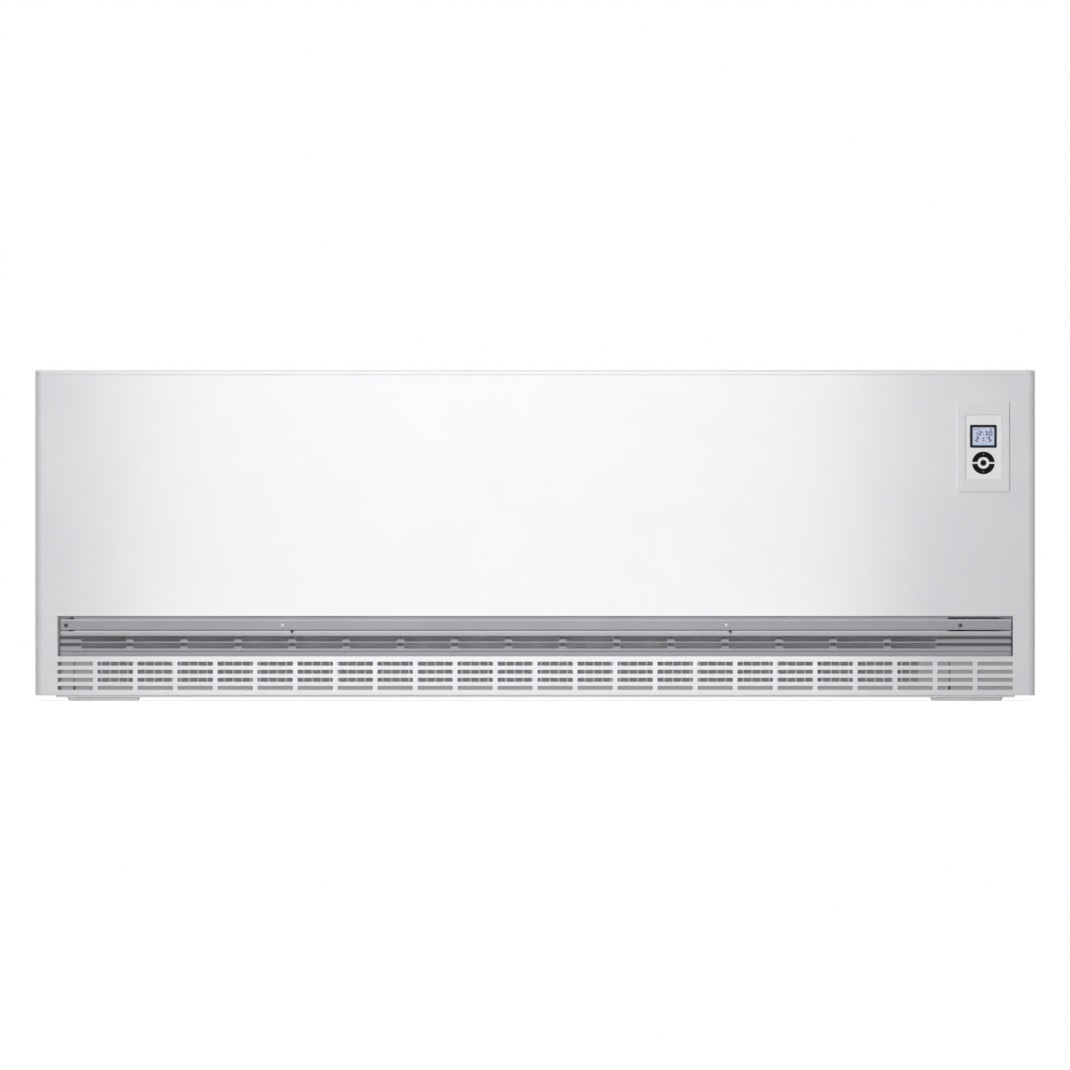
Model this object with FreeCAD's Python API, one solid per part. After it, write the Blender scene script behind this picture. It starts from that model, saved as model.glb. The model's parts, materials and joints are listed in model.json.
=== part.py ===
import FreeCAD, Part
import math
import os
from FreeCAD import Vector

# A low, wide storage heater: a sheet-metal casing round a hot brick core, with a fan below the core.
# Millimetres. X runs along the front from left to right, the front faces -Y, and +Z is up.
# The origin is on the floor, under the middle of the casing.

# Casing
casing_width = 1500.0
casing_depth = 240.0
casing_height = 488.5        # top of the base plate to the top of the cover
sheet = 1.0
fold = 0.1                   # inside radius of a folded edge
corner_fold = 9.0            # inside radius of the upright front corners
rear_corner_fold = 3.0
cover_fold = 2.0             # inside radius of the cover's upper edge
seam_round = 0.2             # lower edge of the cover, at the seam
front_return = 26.0          # how far the front panel folds back
side_flange = 50.0           # how far the side panels fold inwards
rear_flange = 10.0
rear_edge_gap = 1.5
cover_height = 7.0
cover_lip = 12.0
base_thickness = 3.0
base_side_inset = 30.5
base_front_inset = 3.0
bead_count = 3
bead_width = 14.0
bead_depth = 1.4
bead_margin = 130.0          # casing side to the end of a bead

# Feet
foot_height = 5.5
foot_width = 107.5
foot_slope = 3.25            # how far each side leans in towards the floor
foot_side_gap = 47.75        # casing side to the foot's outer edge
foot_end_inset = 8.0
foot_sheet = 1.5
foot_lip = 12.0
rivet_inset = 7.5            # foot's edge to the rivets
rivet_radius = 2.0
rivet_head_radius = 3.3
rivet_head = 1.2
rivet_spread = 120.0

# Screws
screw_radius = 1.8
screw_head_radius = 3.2
screw_head = 1.8
screw_reach = 2.0            # past the last sheet
screw_clearance = 0.1
front_screw_count = 4
side_screw_spread = 120.0
cover_screw_spread = 160.0
rear_screw_inset = 7.0
rear_screw_margin = 34.0
rear_screw_rows = 5

# Wall fixing and cable entry
wall_hole_radius = 4.5
wall_hole_side = 28.0        # casing side to the holes
wall_hole_drop = 50.0        # under the front panel's top
wall_hole_rise = 80.0        # above the base plate
spacer_radius = 13.0
spacer_thickness = 3.0
cable_bore_radius = 5.5
grommet_neck_radius = 9.0
grommet_flange_radius = 13.0
grommet_flange = 2.5
cable_entry_rise = 36.0
grommet_clearance = 0.05

# Air inlet slots
slot_length = 53.0
slot_height = 6.0
slot_bridge = 7.0
slot_corner = 1.5
slot_rows = 4
slot_row_pitch = 12.1
first_slot_rise = 11.3       # base plate's top to the middle of the lowest row

# Air outlet and its grille
outlet_side_margin = 33.5
outlet_strip = 8.1           # sheet left between the slots and the outlet
outlet_height = 60.4
grille_left_gap = 4.4
grille_right_gap = 2.4
grille_top_gap = 0.5
grille_bottom_gap = 0.5
grille_recess = 4.0          # behind the casing's front
grille_sheet = 1.0
upper_band = 19.3
rim_height = 3.7             # upper rim, set back behind the band and leaning
rim_depth = 1.4
rim_lean = 0.6
rim_slope = 3.0
lower_band = 9.5
lower_lip = 2.2              # flat edge under the last tooth
lower_band_step = 0.8
tooth_count = 3
tooth_depth = 5.0
tooth_undercut = 0.47        # share of a tooth that leans back
roll_drop = 0.8              # the first tooth is a lower, rounded roll under a dark groove
roll_groove = 1.2
roll_depth = 2.0
roll_slope = 2.6
roll_crown = 0.7
roll_round = 3.7
window_reach = 0.68          # share of a tooth's lip that a window takes
window_pitch = 81.16
post_top = 6.4
post_base = 12.4
grille_flange = 8.0
end_slit_margin = 1.5
end_slit_left = 20.5
end_slit_right = 94.8
end_slit_height = 2.4
end_slit_drop = 1.6          # under the grille's top
notch_width = 6.0
notch_height = 5.5
rail_sheet = 1.2
rail_height = 10.0
grille_screw_radius = 1.7
grille_screw_head_radius = 3.0
grille_screw_head = 1.6
grille_screw_rise = 5.9      # above the teeth
zinc_screw_left = 370.5      # casing side to the left bright screw
zinc_screw_right = 462.9
black_screw_left = 46.5
black_screw_right = 112.5
left_notch_offset = 14.8     # bright screw to the small notch below it
right_notch_offset = 5.8

# Dust filter behind the inlet slots
carrier_gap = 2.0            # behind the front sheet
carrier_thickness = 1.5
carrier_left_gap = 39.0      # casing side to the carrier's end
carrier_right_gap = 28.0
carrier_top_gap = 1.0        # below the outlet
carrier_slit = 1.3           # upright slit near each end, wider at its foot
carrier_slit_left = 58.6     # casing side to the slit
carrier_slit_right = 128.5
carrier_slit_rise = 51.0     # base plate's top to the slit's end
carrier_foot_slit = 2.4
carrier_foot_rise = 15.0
filter_left_margin = 27.0    # core side to the filter's window
filter_right_margin = 30.0
filter_sill = 6.2            # middle of the lowest slot row to the window
filter_border = 6.0
filter_thickness = 2.5
filter_rib_pitch = 13.19
filter_rib = 2.8
filter_first_rib = 6.2       # window's left edge to the middle of the first rib

# Inner structure
left_bay = 66.0              # casing side to the core space
switch_bay = 146.0
bulkhead_sheet = 1.2
bulkhead_front_gap = 16.0    # casing front to the bulkheads
bulkhead_rear_gap = 1.0      # to the rear panel's flange
bulkhead_foot = 15.0
roof_gap = 2.0
floor_rise = 6.4             # outlet's top to the core floor
floor_sheet = 2.0
leg_size = 16.0
leg_count = 4
duct_sheet = 1.2
duct_drop = 1.2              # outlet's bottom to the duct floor

# Brick core
liner_gap = 8.0              # casing face to the insulation
side_insulation = 32.0
end_insulation = 40.0
top_insulation = 50.0
bottom_insulation = 30.0
brick_layers = 4
bricks_per_layer = 7
brick_joint = 0.5
channel_length = 110.0
channel_width = 20.0
channel_wall = 18.0          # brick's side to the air channel
turn_depth = 12.0            # where the air turns over the top bricks

# Heating elements
element_radius = 4.25
element_bend_radius = 24.0
element_clearance = 0.3
bend_gap = 2.0               # bricks to the start of the bend
element_reach = 12.0         # past the bulkhead
pin_radius = 2.0
pin_length = 22.0
bush_radius = 7.0
bush_length = 8.0
bush_flange_radius = 10.0
bush_flange = 3.0
bush_clearance = 0.1
busbar_width = 12.0
busbar_thickness = 2.0
busbar_offset = 10.0         # end of the element's tube to the busbar
nut_flats = 7.0
nut_height = 3.0
sensor_radius = 3.0
cutout_gap = 10.0            # above the highest bush
cutout_length = 22.0
cutout_width = 44.0
cutout_height = 40.0
sensor_rise = 13.0           # above the cut-out's lower edge
terminal_length = 30.0
terminal_width = 50.0
terminal_height = 46.0
terminal_bore = 2.5
terminal_bore_depth = 15.0
terminal_bore_inset = 11.5
terminal_poles = 5
terminal_rise = 60.0
terminal_inset = 24.0
clamp_length = 34.0
clamp_width = 16.0
clamp_height = 18.0
clamp_inset = 26.0
case_corner = 2.0

# Fan
impeller_radius = 22.5
fan_end_margin = 163.0       # bulkhead to the end of the shaft
blade_count = 24
blade_depth = 5.5
blade_thickness = 0.9
blade_lean = 32.0
disc_thickness = 1.5
disc_bays = 4
scroll_gap = 3.0
scroll_sheet = 1.0
scroll_foot = 1.5
scroll_foot_width = 26.0
scroll_start = 225.0         # degrees
scroll_sweep = 165.0         # degrees
scroll_overhang = 2.0
fan_wall_gap = 8.0
fan_rear_gap = 25.0          # to the core's legs
shaft_radius = 3.0
running_clearance = 0.05
hub_clearance = 0.02
shaft_overhang = 3.0
motor_radius = 23.0
motor_length = 60.0
motor_wall = 8.0
motor_cap_radius = 12.0
motor_cap = 4.0
rotor_radius = 12.0
rotor_gap = 0.4
cradle_length = 40.0
cradle_width = 36.0
cradle_height = 20.0
impeller_gap = 12.0
bearing_radius = 6.0
bearing_length = 8.0
bearing_gap = 8.0
bracket_thickness = 6.0
bracket_radius = 12.0

# Mixing flap
flap_end_margin = 94.0       # bulkhead to the flap
flap_floor_gap = 18.0
flap_sheet = 1.2
flap_gap = 0.3
flap_overlap = 4.0
knuckle_radius = 2.75
flap_rod_radius = 1.5
flap_pivot_drop = 6.0        # below the core floor
flap_end_gap = 0.5
flap_bracket = 6.0
flap_bracket_rim = 2.5

# Control unit
control_side = 77.7          # casing side to the unit's middle
control_drop = 115.5         # cover's top to the unit's middle
bezel_side_border = 12.0
bezel_end_border = 18.0
bezel_proud = 3.0
bezel_corner = 1.2
bezel_edge = 0.6
bezel_overlap = 4.0
bezel_clearance = 0.3
bezel_depth = 8.0            # behind the casing's front
fascia_side_margin = 6.8     # beside the display
fascia_top_margin = 15.75    # above the display
fascia_bottom_margin = 7.55  # below the keys
fascia_recess = 2.0
fascia_thickness = 2.0
fascia_corner = 1.5
fascia_clearance = 0.2
ledge = 3.0
ledge_thickness = 2.0
bezel_wall = 3.7
display_width = 40.4
display_height = 34.6
display_corner = 2.5
display_proud = 0.3
display_flange = 1.8
display_flange_thickness = 1.0
lcd_margin = 1.5
key_gap = 5.6                # display to the keys
key_radius = 17.0
key_inner_radius = 8.8
key_spoke = 2.7
ok_radius = 4.5
key_clearance = 0.2
key_proud = 0.5
key_edge = 0.3
key_flange = 0.9
key_flange_thickness = 0.8
key_flange_gap = 0.1
key_travel = 0.8
key_stop_gap = 0.2
mat_sheet = 0.8
mat_margin = 4.0
dome_radius = 3.0
board_thickness = 1.6
board_margin = 1.7

# Levels and places that follow from the sizes above
half_width = casing_width / 2
front_y = -casing_depth / 2
rear_y = casing_depth / 2
base_bottom = foot_height
base_top = base_bottom + base_thickness
lower_seat = base_bottom + screw_head  # of the sunk screws under the base plate
cover_top = base_top + casing_height
panel_top = cover_top - cover_height
panel_back = front_y + front_return
rear_sheet_y = rear_y - sheet
inner_front = front_y + sheet
screw_hole_radius = screw_radius + screw_clearance
head_hole_radius = screw_head_radius + screw_clearance
rivet_hole_radius = rivet_radius + screw_clearance
grille_hole_radius = grille_screw_radius + screw_clearance
first_slot_z = base_top + first_slot_rise
outlet_bottom = first_slot_z + (slot_rows - 1) * slot_row_pitch + slot_height / 2 + outlet_strip
outlet_top = outlet_bottom + outlet_height
outlet_half = half_width - outlet_side_margin
core_left = -half_width + left_bay
core_right = half_width - switch_bay
core_middle = (core_left + core_right) / 2
bulkhead_front = front_y + bulkhead_front_gap
bulkhead_rear = rear_sheet_y - rear_flange - bulkhead_rear_gap
bulkhead_top = panel_top - roof_gap
floor_bottom = outlet_top + floor_rise
floor_top = floor_bottom + floor_sheet
liner_half = casing_depth / 2 - liner_gap
brick_half = liner_half - side_insulation
brick_bottom = floor_top + bottom_insulation
brick_top = bulkhead_top - top_insulation
brick_height = (brick_top - brick_bottom) / brick_layers
brick_start = core_left + end_insulation
brick_end = core_right - end_insulation
brick_pitch = (brick_end - brick_start) / bricks_per_layer
channel_y = brick_half - channel_wall - channel_width / 2
element_levels = [brick_bottom + brick_height * k for k in range(1, brick_layers)]
leg_sides = (-element_bend_radius, element_bend_radius)
groove_radius = element_radius + element_clearance
tube_end = core_right + bulkhead_sheet + element_reach
pin_end = tube_end + pin_length
pin_hole_radius = pin_radius + bush_clearance
busbar_start = tube_end + busbar_offset
busbar_end = busbar_start + busbar_thickness
bay_wall = core_right + bulkhead_sheet
cutout_bottom = element_levels[-1] + bush_flange_radius + cutout_gap
sensor_z = cutout_bottom + sensor_rise
duct_floor = outlet_bottom - duct_drop
scroll_radius = impeller_radius + scroll_gap
scroll_outer = scroll_radius + scroll_sheet
fan_y = bulkhead_rear - leg_size - fan_rear_gap - scroll_outer
fan_z = base_top + scroll_foot + scroll_outer
duct_wall = fan_y - scroll_outer - fan_wall_gap
shaft_half = (core_right - core_left) / 2 - fan_end_margin
bearing_start = shaft_half - shaft_overhang - bearing_length
impeller_start = motor_length / 2 + impeller_gap
impeller_length = bearing_start - bearing_gap - impeller_start
pivot_y = duct_wall - duct_sheet - flap_gap - knuckle_radius
pivot_z = floor_bottom - flap_pivot_drop
flap_length = core_right - core_left - 2 * flap_end_margin
flap_bottom = duct_floor + flap_floor_gap
control_x = half_width - control_side
control_z = cover_top - control_drop
bezel_face = front_y - bezel_proud
bezel_back = front_y + bezel_depth
fascia_face = bezel_face + fascia_recess
fascia_back = fascia_face + fascia_thickness
fascia_width = display_width + 2 * fascia_side_margin
fascia_height = fascia_top_margin + display_height + key_gap + 2 * key_radius + fascia_bottom_margin
bezel_width = fascia_width + 2 * bezel_side_border
bezel_height = fascia_height + 2 * bezel_end_border
display_z = control_z + fascia_height / 2 - fascia_top_margin - display_height / 2
key_z = display_z - display_height / 2 - key_gap - key_radius
key_face = fascia_face - key_proud
key_seat = fascia_back + key_flange_gap
key_back = key_seat + key_flange_thickness
grommet_x = (core_right + half_width - side_flange) / 2
grommet_z = base_top + cable_entry_rise
grille_left = -outlet_half + grille_left_gap
grille_right = outlet_half - grille_right_gap
grille_top = outlet_top - grille_top_gap
grille_bottom = outlet_bottom + grille_bottom_gap
grille_face = front_y + grille_recess
tooth_pitch = (grille_top - grille_bottom - upper_band - lower_band) / tooth_count
teeth_top = grille_top - upper_band
band_end = teeth_top - roll_drop
grille_screw_z = teeth_top + grille_screw_rise
zinc_screw_places = (-half_width + zinc_screw_left, half_width - zinc_screw_right)
black_screw_places = (-half_width + black_screw_left, half_width - black_screw_right)
carrier_face = inner_front + carrier_gap
carrier_top = outlet_bottom - carrier_top_gap
filter_face = carrier_face + carrier_thickness
filter_bottom = first_slot_z + filter_sill
filter_top = carrier_top - filter_border
filter_left = core_left + filter_left_margin
filter_right = core_right - filter_right_margin
wall_holes = [
    (side * (half_width - wall_hole_side), z)
    for side in (-1, 1)
    for z in (base_top + wall_hole_rise, panel_top - wall_hole_drop)
]
rear_screw_z = [
    base_top + rear_screw_margin + i * (panel_top - base_top - 2 * rear_screw_margin) / (rear_screw_rows - 1)
    for i in range(rear_screw_rows)
]
rear_screws = [(side * (half_width - rear_screw_inset), z) for side in (-1, 1) for z in rear_screw_z]
foot_inner = half_width - foot_side_gap - foot_width
front_screws = [
    (foot_inner * ((2 * i + 1) / front_screw_count - 1), (front_y + panel_back) / 2)
    for i in range(front_screw_count)
]
side_screws = [
    (side * (half_width - (base_side_inset + foot_side_gap) / 2), end * side_screw_spread / 2)
    for side in (-1, 1)
    for end in (-1, 1)
]
cover_screws = [
    (side * (half_width - (cover_lip + sheet) / 2), end * cover_screw_spread / 2)
    for side in (-1, 1)
    for end in (-1, 1)
]


def box(x0, y0, z0, x1, y1, z1):
    return Part.makeBox(x1 - x0, y1 - y0, z1 - z0, Vector(x0, y0, z0))


def rod_x(x0, x1, y, z, radius):
    return Part.makeCylinder(radius, x1 - x0, Vector(x0, y, z), Vector(1, 0, 0))


def rod_y(x, y0, y1, z, radius):
    return Part.makeCylinder(radius, y1 - y0, Vector(x, y0, z), Vector(0, 1, 0))


def rod_z(x, y, z0, z1, radius):
    return Part.makeCylinder(radius, z1 - z0, Vector(x, y, z0), Vector(0, 0, 1))


def bore_x(x0, x1, y, z, radius):
    # a tool for a through hole: it passes both faces by its own radius
    return rod_x(x0 - radius, x1 + radius, y, z, radius)


def bore_y(x, y0, y1, z, radius):
    return rod_y(x, y0 - radius, y1 + radius, z, radius)


def bore_z(x, y, z0, z1, radius):
    return rod_z(x, y, z0 - radius, z1 + radius, radius)


def prism(points, along):
    corners = [Vector(*p) for p in points]
    face = Part.Face(Part.makePolygon(corners + corners[:1]))
    return face.extrude(Vector(*along))


def join(shapes):
    return shapes[0].fuse(shapes[1:]).removeSplitter()


def near(a, b):
    return abs(a - b) < 1e-4


def is_along(edge, axis):
    ends = [v.Point for v in edge.Vertexes]
    if len(ends) < 2:
        return False
    step = ends[1] - ends[0]
    return near(abs(step.dot(axis)), step.Length)


def edges_where(shape, test):
    return [edge for edge in shape.Edges if all(test(v.Point) for v in edge.Vertexes)]


def round_along(shape, axis, radius):
    return shape.makeFillet(radius, [edge for edge in shape.Edges if is_along(edge, axis)])


def rounded_plate(x, z, width, height, y0, y1, corner):
    plate = box(x - width / 2, y0, z - height / 2, x + width / 2, y1, z + height / 2)
    return round_along(plate, Vector(0, 1, 0), corner)


def uprights_at(shape, y):
    edges = edges_where(shape, lambda p: near(p.y, y))
    return [edge for edge in edges if is_along(edge, Vector(0, 0, 1))]


def front_form(inset, back):
    # the front panel's form, drawn in by the inset, with rounded front corners and edges
    x, y, low, high = half_width - inset, front_y + inset, base_top + inset, panel_top - inset
    form = box(-x, y, low, x, back, high)
    form = form.makeFillet(corner_fold + sheet - inset, uprights_at(form, y))
    rims = edges_where(form, lambda p: near(p.z, low)) + edges_where(form, lambda p: near(p.z, high))
    rims = [edge for edge in rims if not all(near(v.Point.y, back) for v in edge.Vertexes)]
    return form.makeFillet(fold + sheet - inset, rims)


def inlet_slots():
    pitch = slot_length + slot_bridge
    columns = int((2 * outlet_half + slot_bridge) / pitch + 1e-6)
    slot = rounded_plate(0, 0, slot_length, slot_height, front_y - sheet, inner_front + sheet, slot_corner)
    return [
        slot.translated(
            Vector((column - (columns - 1) / 2) * pitch, 0, first_slot_z + row * slot_row_pitch)
        )
        for column in range(columns)
        for row in range(slot_rows)
    ]


def front_panel():
    y0, y1 = front_y - sheet, inner_front + sheet
    control_half = bezel_width / 2 - bezel_overlap
    control_rise = bezel_height / 2 - bezel_overlap
    cuts = [
        front_form(sheet, panel_back + sheet),
        box(-outlet_half, y0, outlet_bottom, outlet_half, y1, outlet_top),
        box(
            control_x - control_half,
            y0,
            control_z - control_rise,
            control_x + control_half,
            y1,
            control_z + control_rise,
        ),
    ]
    cuts += [bore_z(x, y, base_top, base_top + sheet, screw_hole_radius) for x, y in front_screws]
    return front_form(0, panel_back).cut(cuts + inlet_slots())


def side_form(inset, inner_x):
    # the left side panel's form, drawn in by the inset, with a rounded rim round its outer face
    x = -half_width + inset
    form = box(x, panel_back + inset, base_top + inset, inner_x, rear_sheet_y - inset, panel_top - inset)
    return form.makeFillet(fold + sheet - inset, edges_where(form, lambda p: near(p.x, x)))


def side_panel(side):
    inner_x = -half_width + side_flange
    tray = side_form(0, inner_x).cut(side_form(sheet, inner_x + sheet))
    if side > 0:
        tray = tray.mirror(Vector(0, 0, 0), Vector(1, 0, 0))
    inside = rear_sheet_y - sheet
    holes = [bore_z(x, y, base_top, base_top + sheet, screw_hole_radius) for x, y in side_screws]
    holes += [bore_z(x, y, panel_top - sheet, panel_top, screw_hole_radius) for x, y in cover_screws]
    holes += [bore_y(x, inside, rear_sheet_y, z, screw_hole_radius) for x, z in rear_screws]
    holes += [bore_y(x, inside, rear_sheet_y, z, wall_hole_radius) for x, z in wall_holes]
    return tray.cut(holes)


def cover_form(inset):
    x, y, high = half_width - inset, casing_depth / 2 - inset, cover_top - inset
    form = box(-x, -y, panel_top + inset, x, y, high)
    form = form.makeFillet(corner_fold + sheet - inset, uprights_at(form, -y))
    form = form.makeFillet(rear_corner_fold + sheet - inset, uprights_at(form, y))
    return form.makeFillet(cover_fold + sheet - inset, edges_where(form, lambda p: near(p.z, high)))


def top_cover():
    # a closed tray whose lower lip lies on the panels' upper flanges
    shell = cover_form(0)
    shell = shell.makeFillet(seam_round, edges_where(shell, lambda p: near(p.z, panel_top)))
    x, y = half_width - cover_lip, casing_depth / 2 - cover_lip
    mouth = box(-x, -y, panel_top - sheet, x, y, panel_top + 2 * sheet)
    holes = [bore_z(a, b, panel_top, panel_top + sheet, screw_hole_radius) for a, b in cover_screws]
    return shell.cut([cover_form(sheet), mouth] + holes)


def bead(z, y, width):
    # a pressed bead across the rear panel: a low ridge with sloping sides
    x = half_width - bead_margin
    top_half = width / 2 - bead_depth
    points = [
        (-x, y, z - width / 2),
        (-x, y + bead_depth, z - top_half),
        (-x, y + bead_depth, z + top_half),
        (-x, y, z + width / 2),
    ]
    return prism(points, (2 * x, 0, 0))


def rear_panel():
    x = half_width - rear_edge_gap
    flange_x = half_width - side_flange - sheet
    flange_y = rear_sheet_y - rear_flange
    spacing = (panel_top - base_top) / (bead_count + 1)
    levels = [base_top + spacing * (i + 1) for i in range(bead_count)]
    sheets = [
        box(-x, rear_sheet_y, base_top, x, rear_y, panel_top),
        box(-flange_x, flange_y, base_top, flange_x, rear_sheet_y, base_top + sheet),
        box(-flange_x, flange_y, panel_top - sheet, flange_x, rear_sheet_y, panel_top),
    ]
    panel = join(sheets + [bead(z, rear_y, bead_width) for z in levels])
    cuts = [bead(z, rear_sheet_y, bead_width - 2 * sheet) for z in levels]
    cuts += [bore_y(a, rear_sheet_y, rear_y, z, screw_hole_radius) for a, z in rear_screws]
    cuts += [bore_y(a, rear_sheet_y, rear_y, z, wall_hole_radius) for a, z in wall_holes]
    cuts.append(bore_y(grommet_x, rear_sheet_y, rear_y, grommet_z, grommet_neck_radius))
    return panel.cut(cuts)


def foot_middle(side):
    return side * (half_width - foot_side_gap - foot_width / 2)


def rivet_places(side):
    reach = foot_width / 2 - rivet_inset
    return [
        (foot_middle(side) + across * reach, along * rivet_spread / 2)
        for across in (-1, 1)
        for along in (-1, 1)
    ]


def base_plate():
    x, y = half_width - base_side_inset, casing_depth / 2 - base_front_inset
    plate = box(-x, -y, base_bottom, x, y, base_top)
    holes = [bore_z(a, b, base_bottom, base_top, screw_hole_radius) for a, b in front_screws + side_screws]
    holes += [
        rod_z(a, b, base_bottom - screw_head, lower_seat, head_hole_radius)
        for a, b in front_screws + side_screws
    ]
    rivets = rivet_places(-1) + rivet_places(1)
    return plate.cut(holes + [bore_z(a, b, base_bottom, base_top, rivet_hole_radius) for a, b in rivets])


def foot_form(middle, inset):
    # a channel with leaning sides, closed at both ends
    half, y = foot_width / 2 - inset, casing_depth / 2 - foot_end_inset - inset
    low, high = inset, base_bottom - inset
    points = [
        (middle - half, -y, high),
        (middle + half, -y, high),
        (middle + half - foot_slope, -y, low),
        (middle - half + foot_slope, -y, low),
    ]
    return prism(points, (0, 2 * y, 0))


def foot(side):
    middle = foot_middle(side)
    lip_bottom = base_bottom - foot_sheet
    half, y = foot_width / 2 - foot_lip, casing_depth / 2 - foot_end_inset - foot_sheet
    mouth = box(middle - half, -y, lip_bottom - foot_sheet, middle + half, y, base_bottom + foot_sheet)
    holes = [bore_z(a, b, lip_bottom, base_bottom, rivet_hole_radius) for a, b in rivet_places(side)]
    hollow = foot_form(middle, foot_sheet)
    lips = foot_form(middle, 0).cut(hollow).cut(mouth)
    floor = foot_form(middle, 0).common(box(-half_width, front_y, 0, half_width, rear_y, foot_sheet))
    return join([lips.cut(holes), floor])


def foot_rivets():
    lip_bottom = base_bottom - foot_sheet
    rivets = []
    for x, y in rivet_places(-1) + rivet_places(1):
        head = rod_z(x, y, lip_bottom - rivet_head, lip_bottom, rivet_head_radius)
        rivets.append(join([head, rod_z(x, y, lip_bottom, base_top, rivet_radius)]))
    return Part.makeCompound(rivets)


def upright_screw(x, y, seat, last_sheet):
    head = rod_z(x, y, seat - screw_head, seat, screw_head_radius)
    return join([head, rod_z(x, y, seat, last_sheet + screw_reach, screw_radius)])


def casing_screws():
    # the lower heads are sunk in the base plate
    lower = [upright_screw(x, y, lower_seat, base_top + sheet) for x, y in front_screws + side_screws]
    upper = [upright_screw(x, y, panel_top - sheet, panel_top + sheet) for x, y in cover_screws]
    return Part.makeCompound(lower + upper)


def rear_panel_screws():
    screws = []
    for x, z in rear_screws:
        head = rod_y(x, rear_y, rear_y + screw_head, z, screw_head_radius)
        shank = rod_y(x, rear_sheet_y - sheet - screw_reach, rear_y, z, screw_radius)
        screws.append(join([head, shank]))
    return Part.makeCompound(screws)


def wall_spacers():
    back = rear_y + spacer_thickness
    return Part.makeCompound(
        [
            rod_y(x, rear_y, back, z, spacer_radius).cut(bore_y(x, rear_y, back, z, wall_hole_radius))
            for x, z in wall_holes
        ]
    )


def cable_grommet():
    inner, outer = rear_sheet_y - grommet_flange, rear_y + grommet_flange
    body = join(
        [
            rod_y(grommet_x, inner, rear_sheet_y, grommet_z, grommet_flange_radius),
            rod_y(grommet_x, rear_sheet_y, rear_y, grommet_z, grommet_neck_radius - grommet_clearance),
            rod_y(grommet_x, rear_y, outer, grommet_z, grommet_flange_radius),
        ]
    )
    return body.cut(bore_y(grommet_x, inner, outer, grommet_z, cable_bore_radius))


def tooth_top(index):
    return teeth_top - index * tooth_pitch


def tooth_root(index):
    return tooth_top(index) - tooth_undercut * tooth_pitch


def grille_line():
    # front line of the grille from top to bottom: set-back rim, flat band, roll, saw-teeth, lower band
    rim_foot = grille_top - rim_height
    groove = band_end - roll_groove
    crown = groove - roll_slope
    line = [
        (grille_face + rim_depth + rim_lean, grille_top),
        (grille_face + rim_depth, rim_foot),
        (grille_face, rim_foot - rim_slope),
        (grille_face, band_end),
        (grille_face + roll_depth, groove),
        (grille_face + roll_crown, crown),
        (grille_face, crown - roll_round),
    ]
    for index in range(1, tooth_count):
        line.append((grille_face, tooth_top(index)))
        line.append((grille_face + tooth_depth, tooth_root(index)))
    lip_end = tooth_top(tooth_count) - lower_lip
    line.append((grille_face, tooth_top(tooth_count)))
    line.append((grille_face, lip_end))
    line.append((grille_face + lower_band_step, lip_end - lower_band_step))
    line.append((grille_face + lower_band_step, grille_bottom))
    return line


def sheet_back(line, thickness):
    # the line of a bent sheet's back, everywhere one thickness behind its front
    ways = []
    for (y0, z0), (y1, z1) in zip(line, line[1:]):
        length = math.hypot(y1 - y0, z1 - z0)
        ways.append(((z0 - z1) / length, (y1 - y0) / length))
    back = []
    for (y, z), (a, b), (c, d) in zip(line, ways[:1] + ways, ways + ways[-1:]):
        reach = thickness / (1 + a * c + b * d)
        back.append((y + (a + c) * reach, z + (b + d) * reach))
    return back


def grille_cut(corners):
    # a tool that goes through the whole depth of the grille, from its outline seen from the front
    start = grille_face - grille_sheet
    reach = tooth_depth + 3 * grille_sheet
    return prism([(x, start, z) for x, z in corners], (0, reach, 0))


def grille_windows():
    # the last two teeth are cut open between short posts, over the width of the core
    posts = int((core_right - core_left) / window_pitch + 1e-6)
    ends = [core_left + grille_sheet - post_top / 2]
    ends += [core_middle + (i - (posts - 1) / 2) * window_pitch for i in range(posts)]
    ends += [core_right - grille_sheet + post_top / 2]
    flare = (post_base - post_top) / 2
    windows = []
    for index in (tooth_count - 2, tooth_count - 1):
        top = tooth_top(index) - grille_sheet / 2
        low = tooth_root(index) - window_reach * (tooth_root(index) - tooth_top(index + 1))
        for a, b in zip(ends, ends[1:]):
            left, right = a + post_top / 2, b - post_top / 2
            windows.append(grille_cut([(left, top), (right, top), (right - flare, low), (left + flare, low)]))
    return windows


def grille_end_slits():
    spans = [
        (grille_left + end_slit_margin, grille_left + end_slit_left),
        (grille_right - end_slit_right, grille_right - end_slit_margin),
    ]
    slits = []
    for left, right in spans:
        for top in (band_end, grille_top - end_slit_drop):
            low = top - end_slit_height
            slits.append(grille_cut([(left, top), (right, top), (right, low), (left, low)]))
    return slits


def grille_notches():
    top = band_end - roll_groove
    cuts = []
    for screw, offset in zip(zinc_screw_places, (left_notch_offset, right_notch_offset)):
        middle = screw + offset
        left, right = middle - notch_width / 2, middle + notch_width / 2
        cuts.append(grille_cut([(left, top), (right, top), (middle, top - notch_height)]))
    return cuts


def outlet_grille():
    front = grille_line()
    outline = front + sheet_back(front, grille_sheet)[::-1]
    flange_y = grille_face + lower_band_step
    flange_end = flange_y + grille_flange
    flange_top = grille_bottom + grille_sheet
    bent = join(
        [
            prism([(grille_left, y, z) for y, z in outline], (grille_right - grille_left, 0, 0)),
            box(grille_left, flange_y, grille_bottom, grille_right, flange_end, flange_top),
        ]
    )
    holes = [
        bore_y(x, grille_face, grille_face + grille_sheet, grille_screw_z, grille_hole_radius)
        for x in zinc_screw_places + black_screw_places
    ]
    return bent.cut(grille_windows() + grille_end_slits() + grille_notches() + holes)


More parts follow.
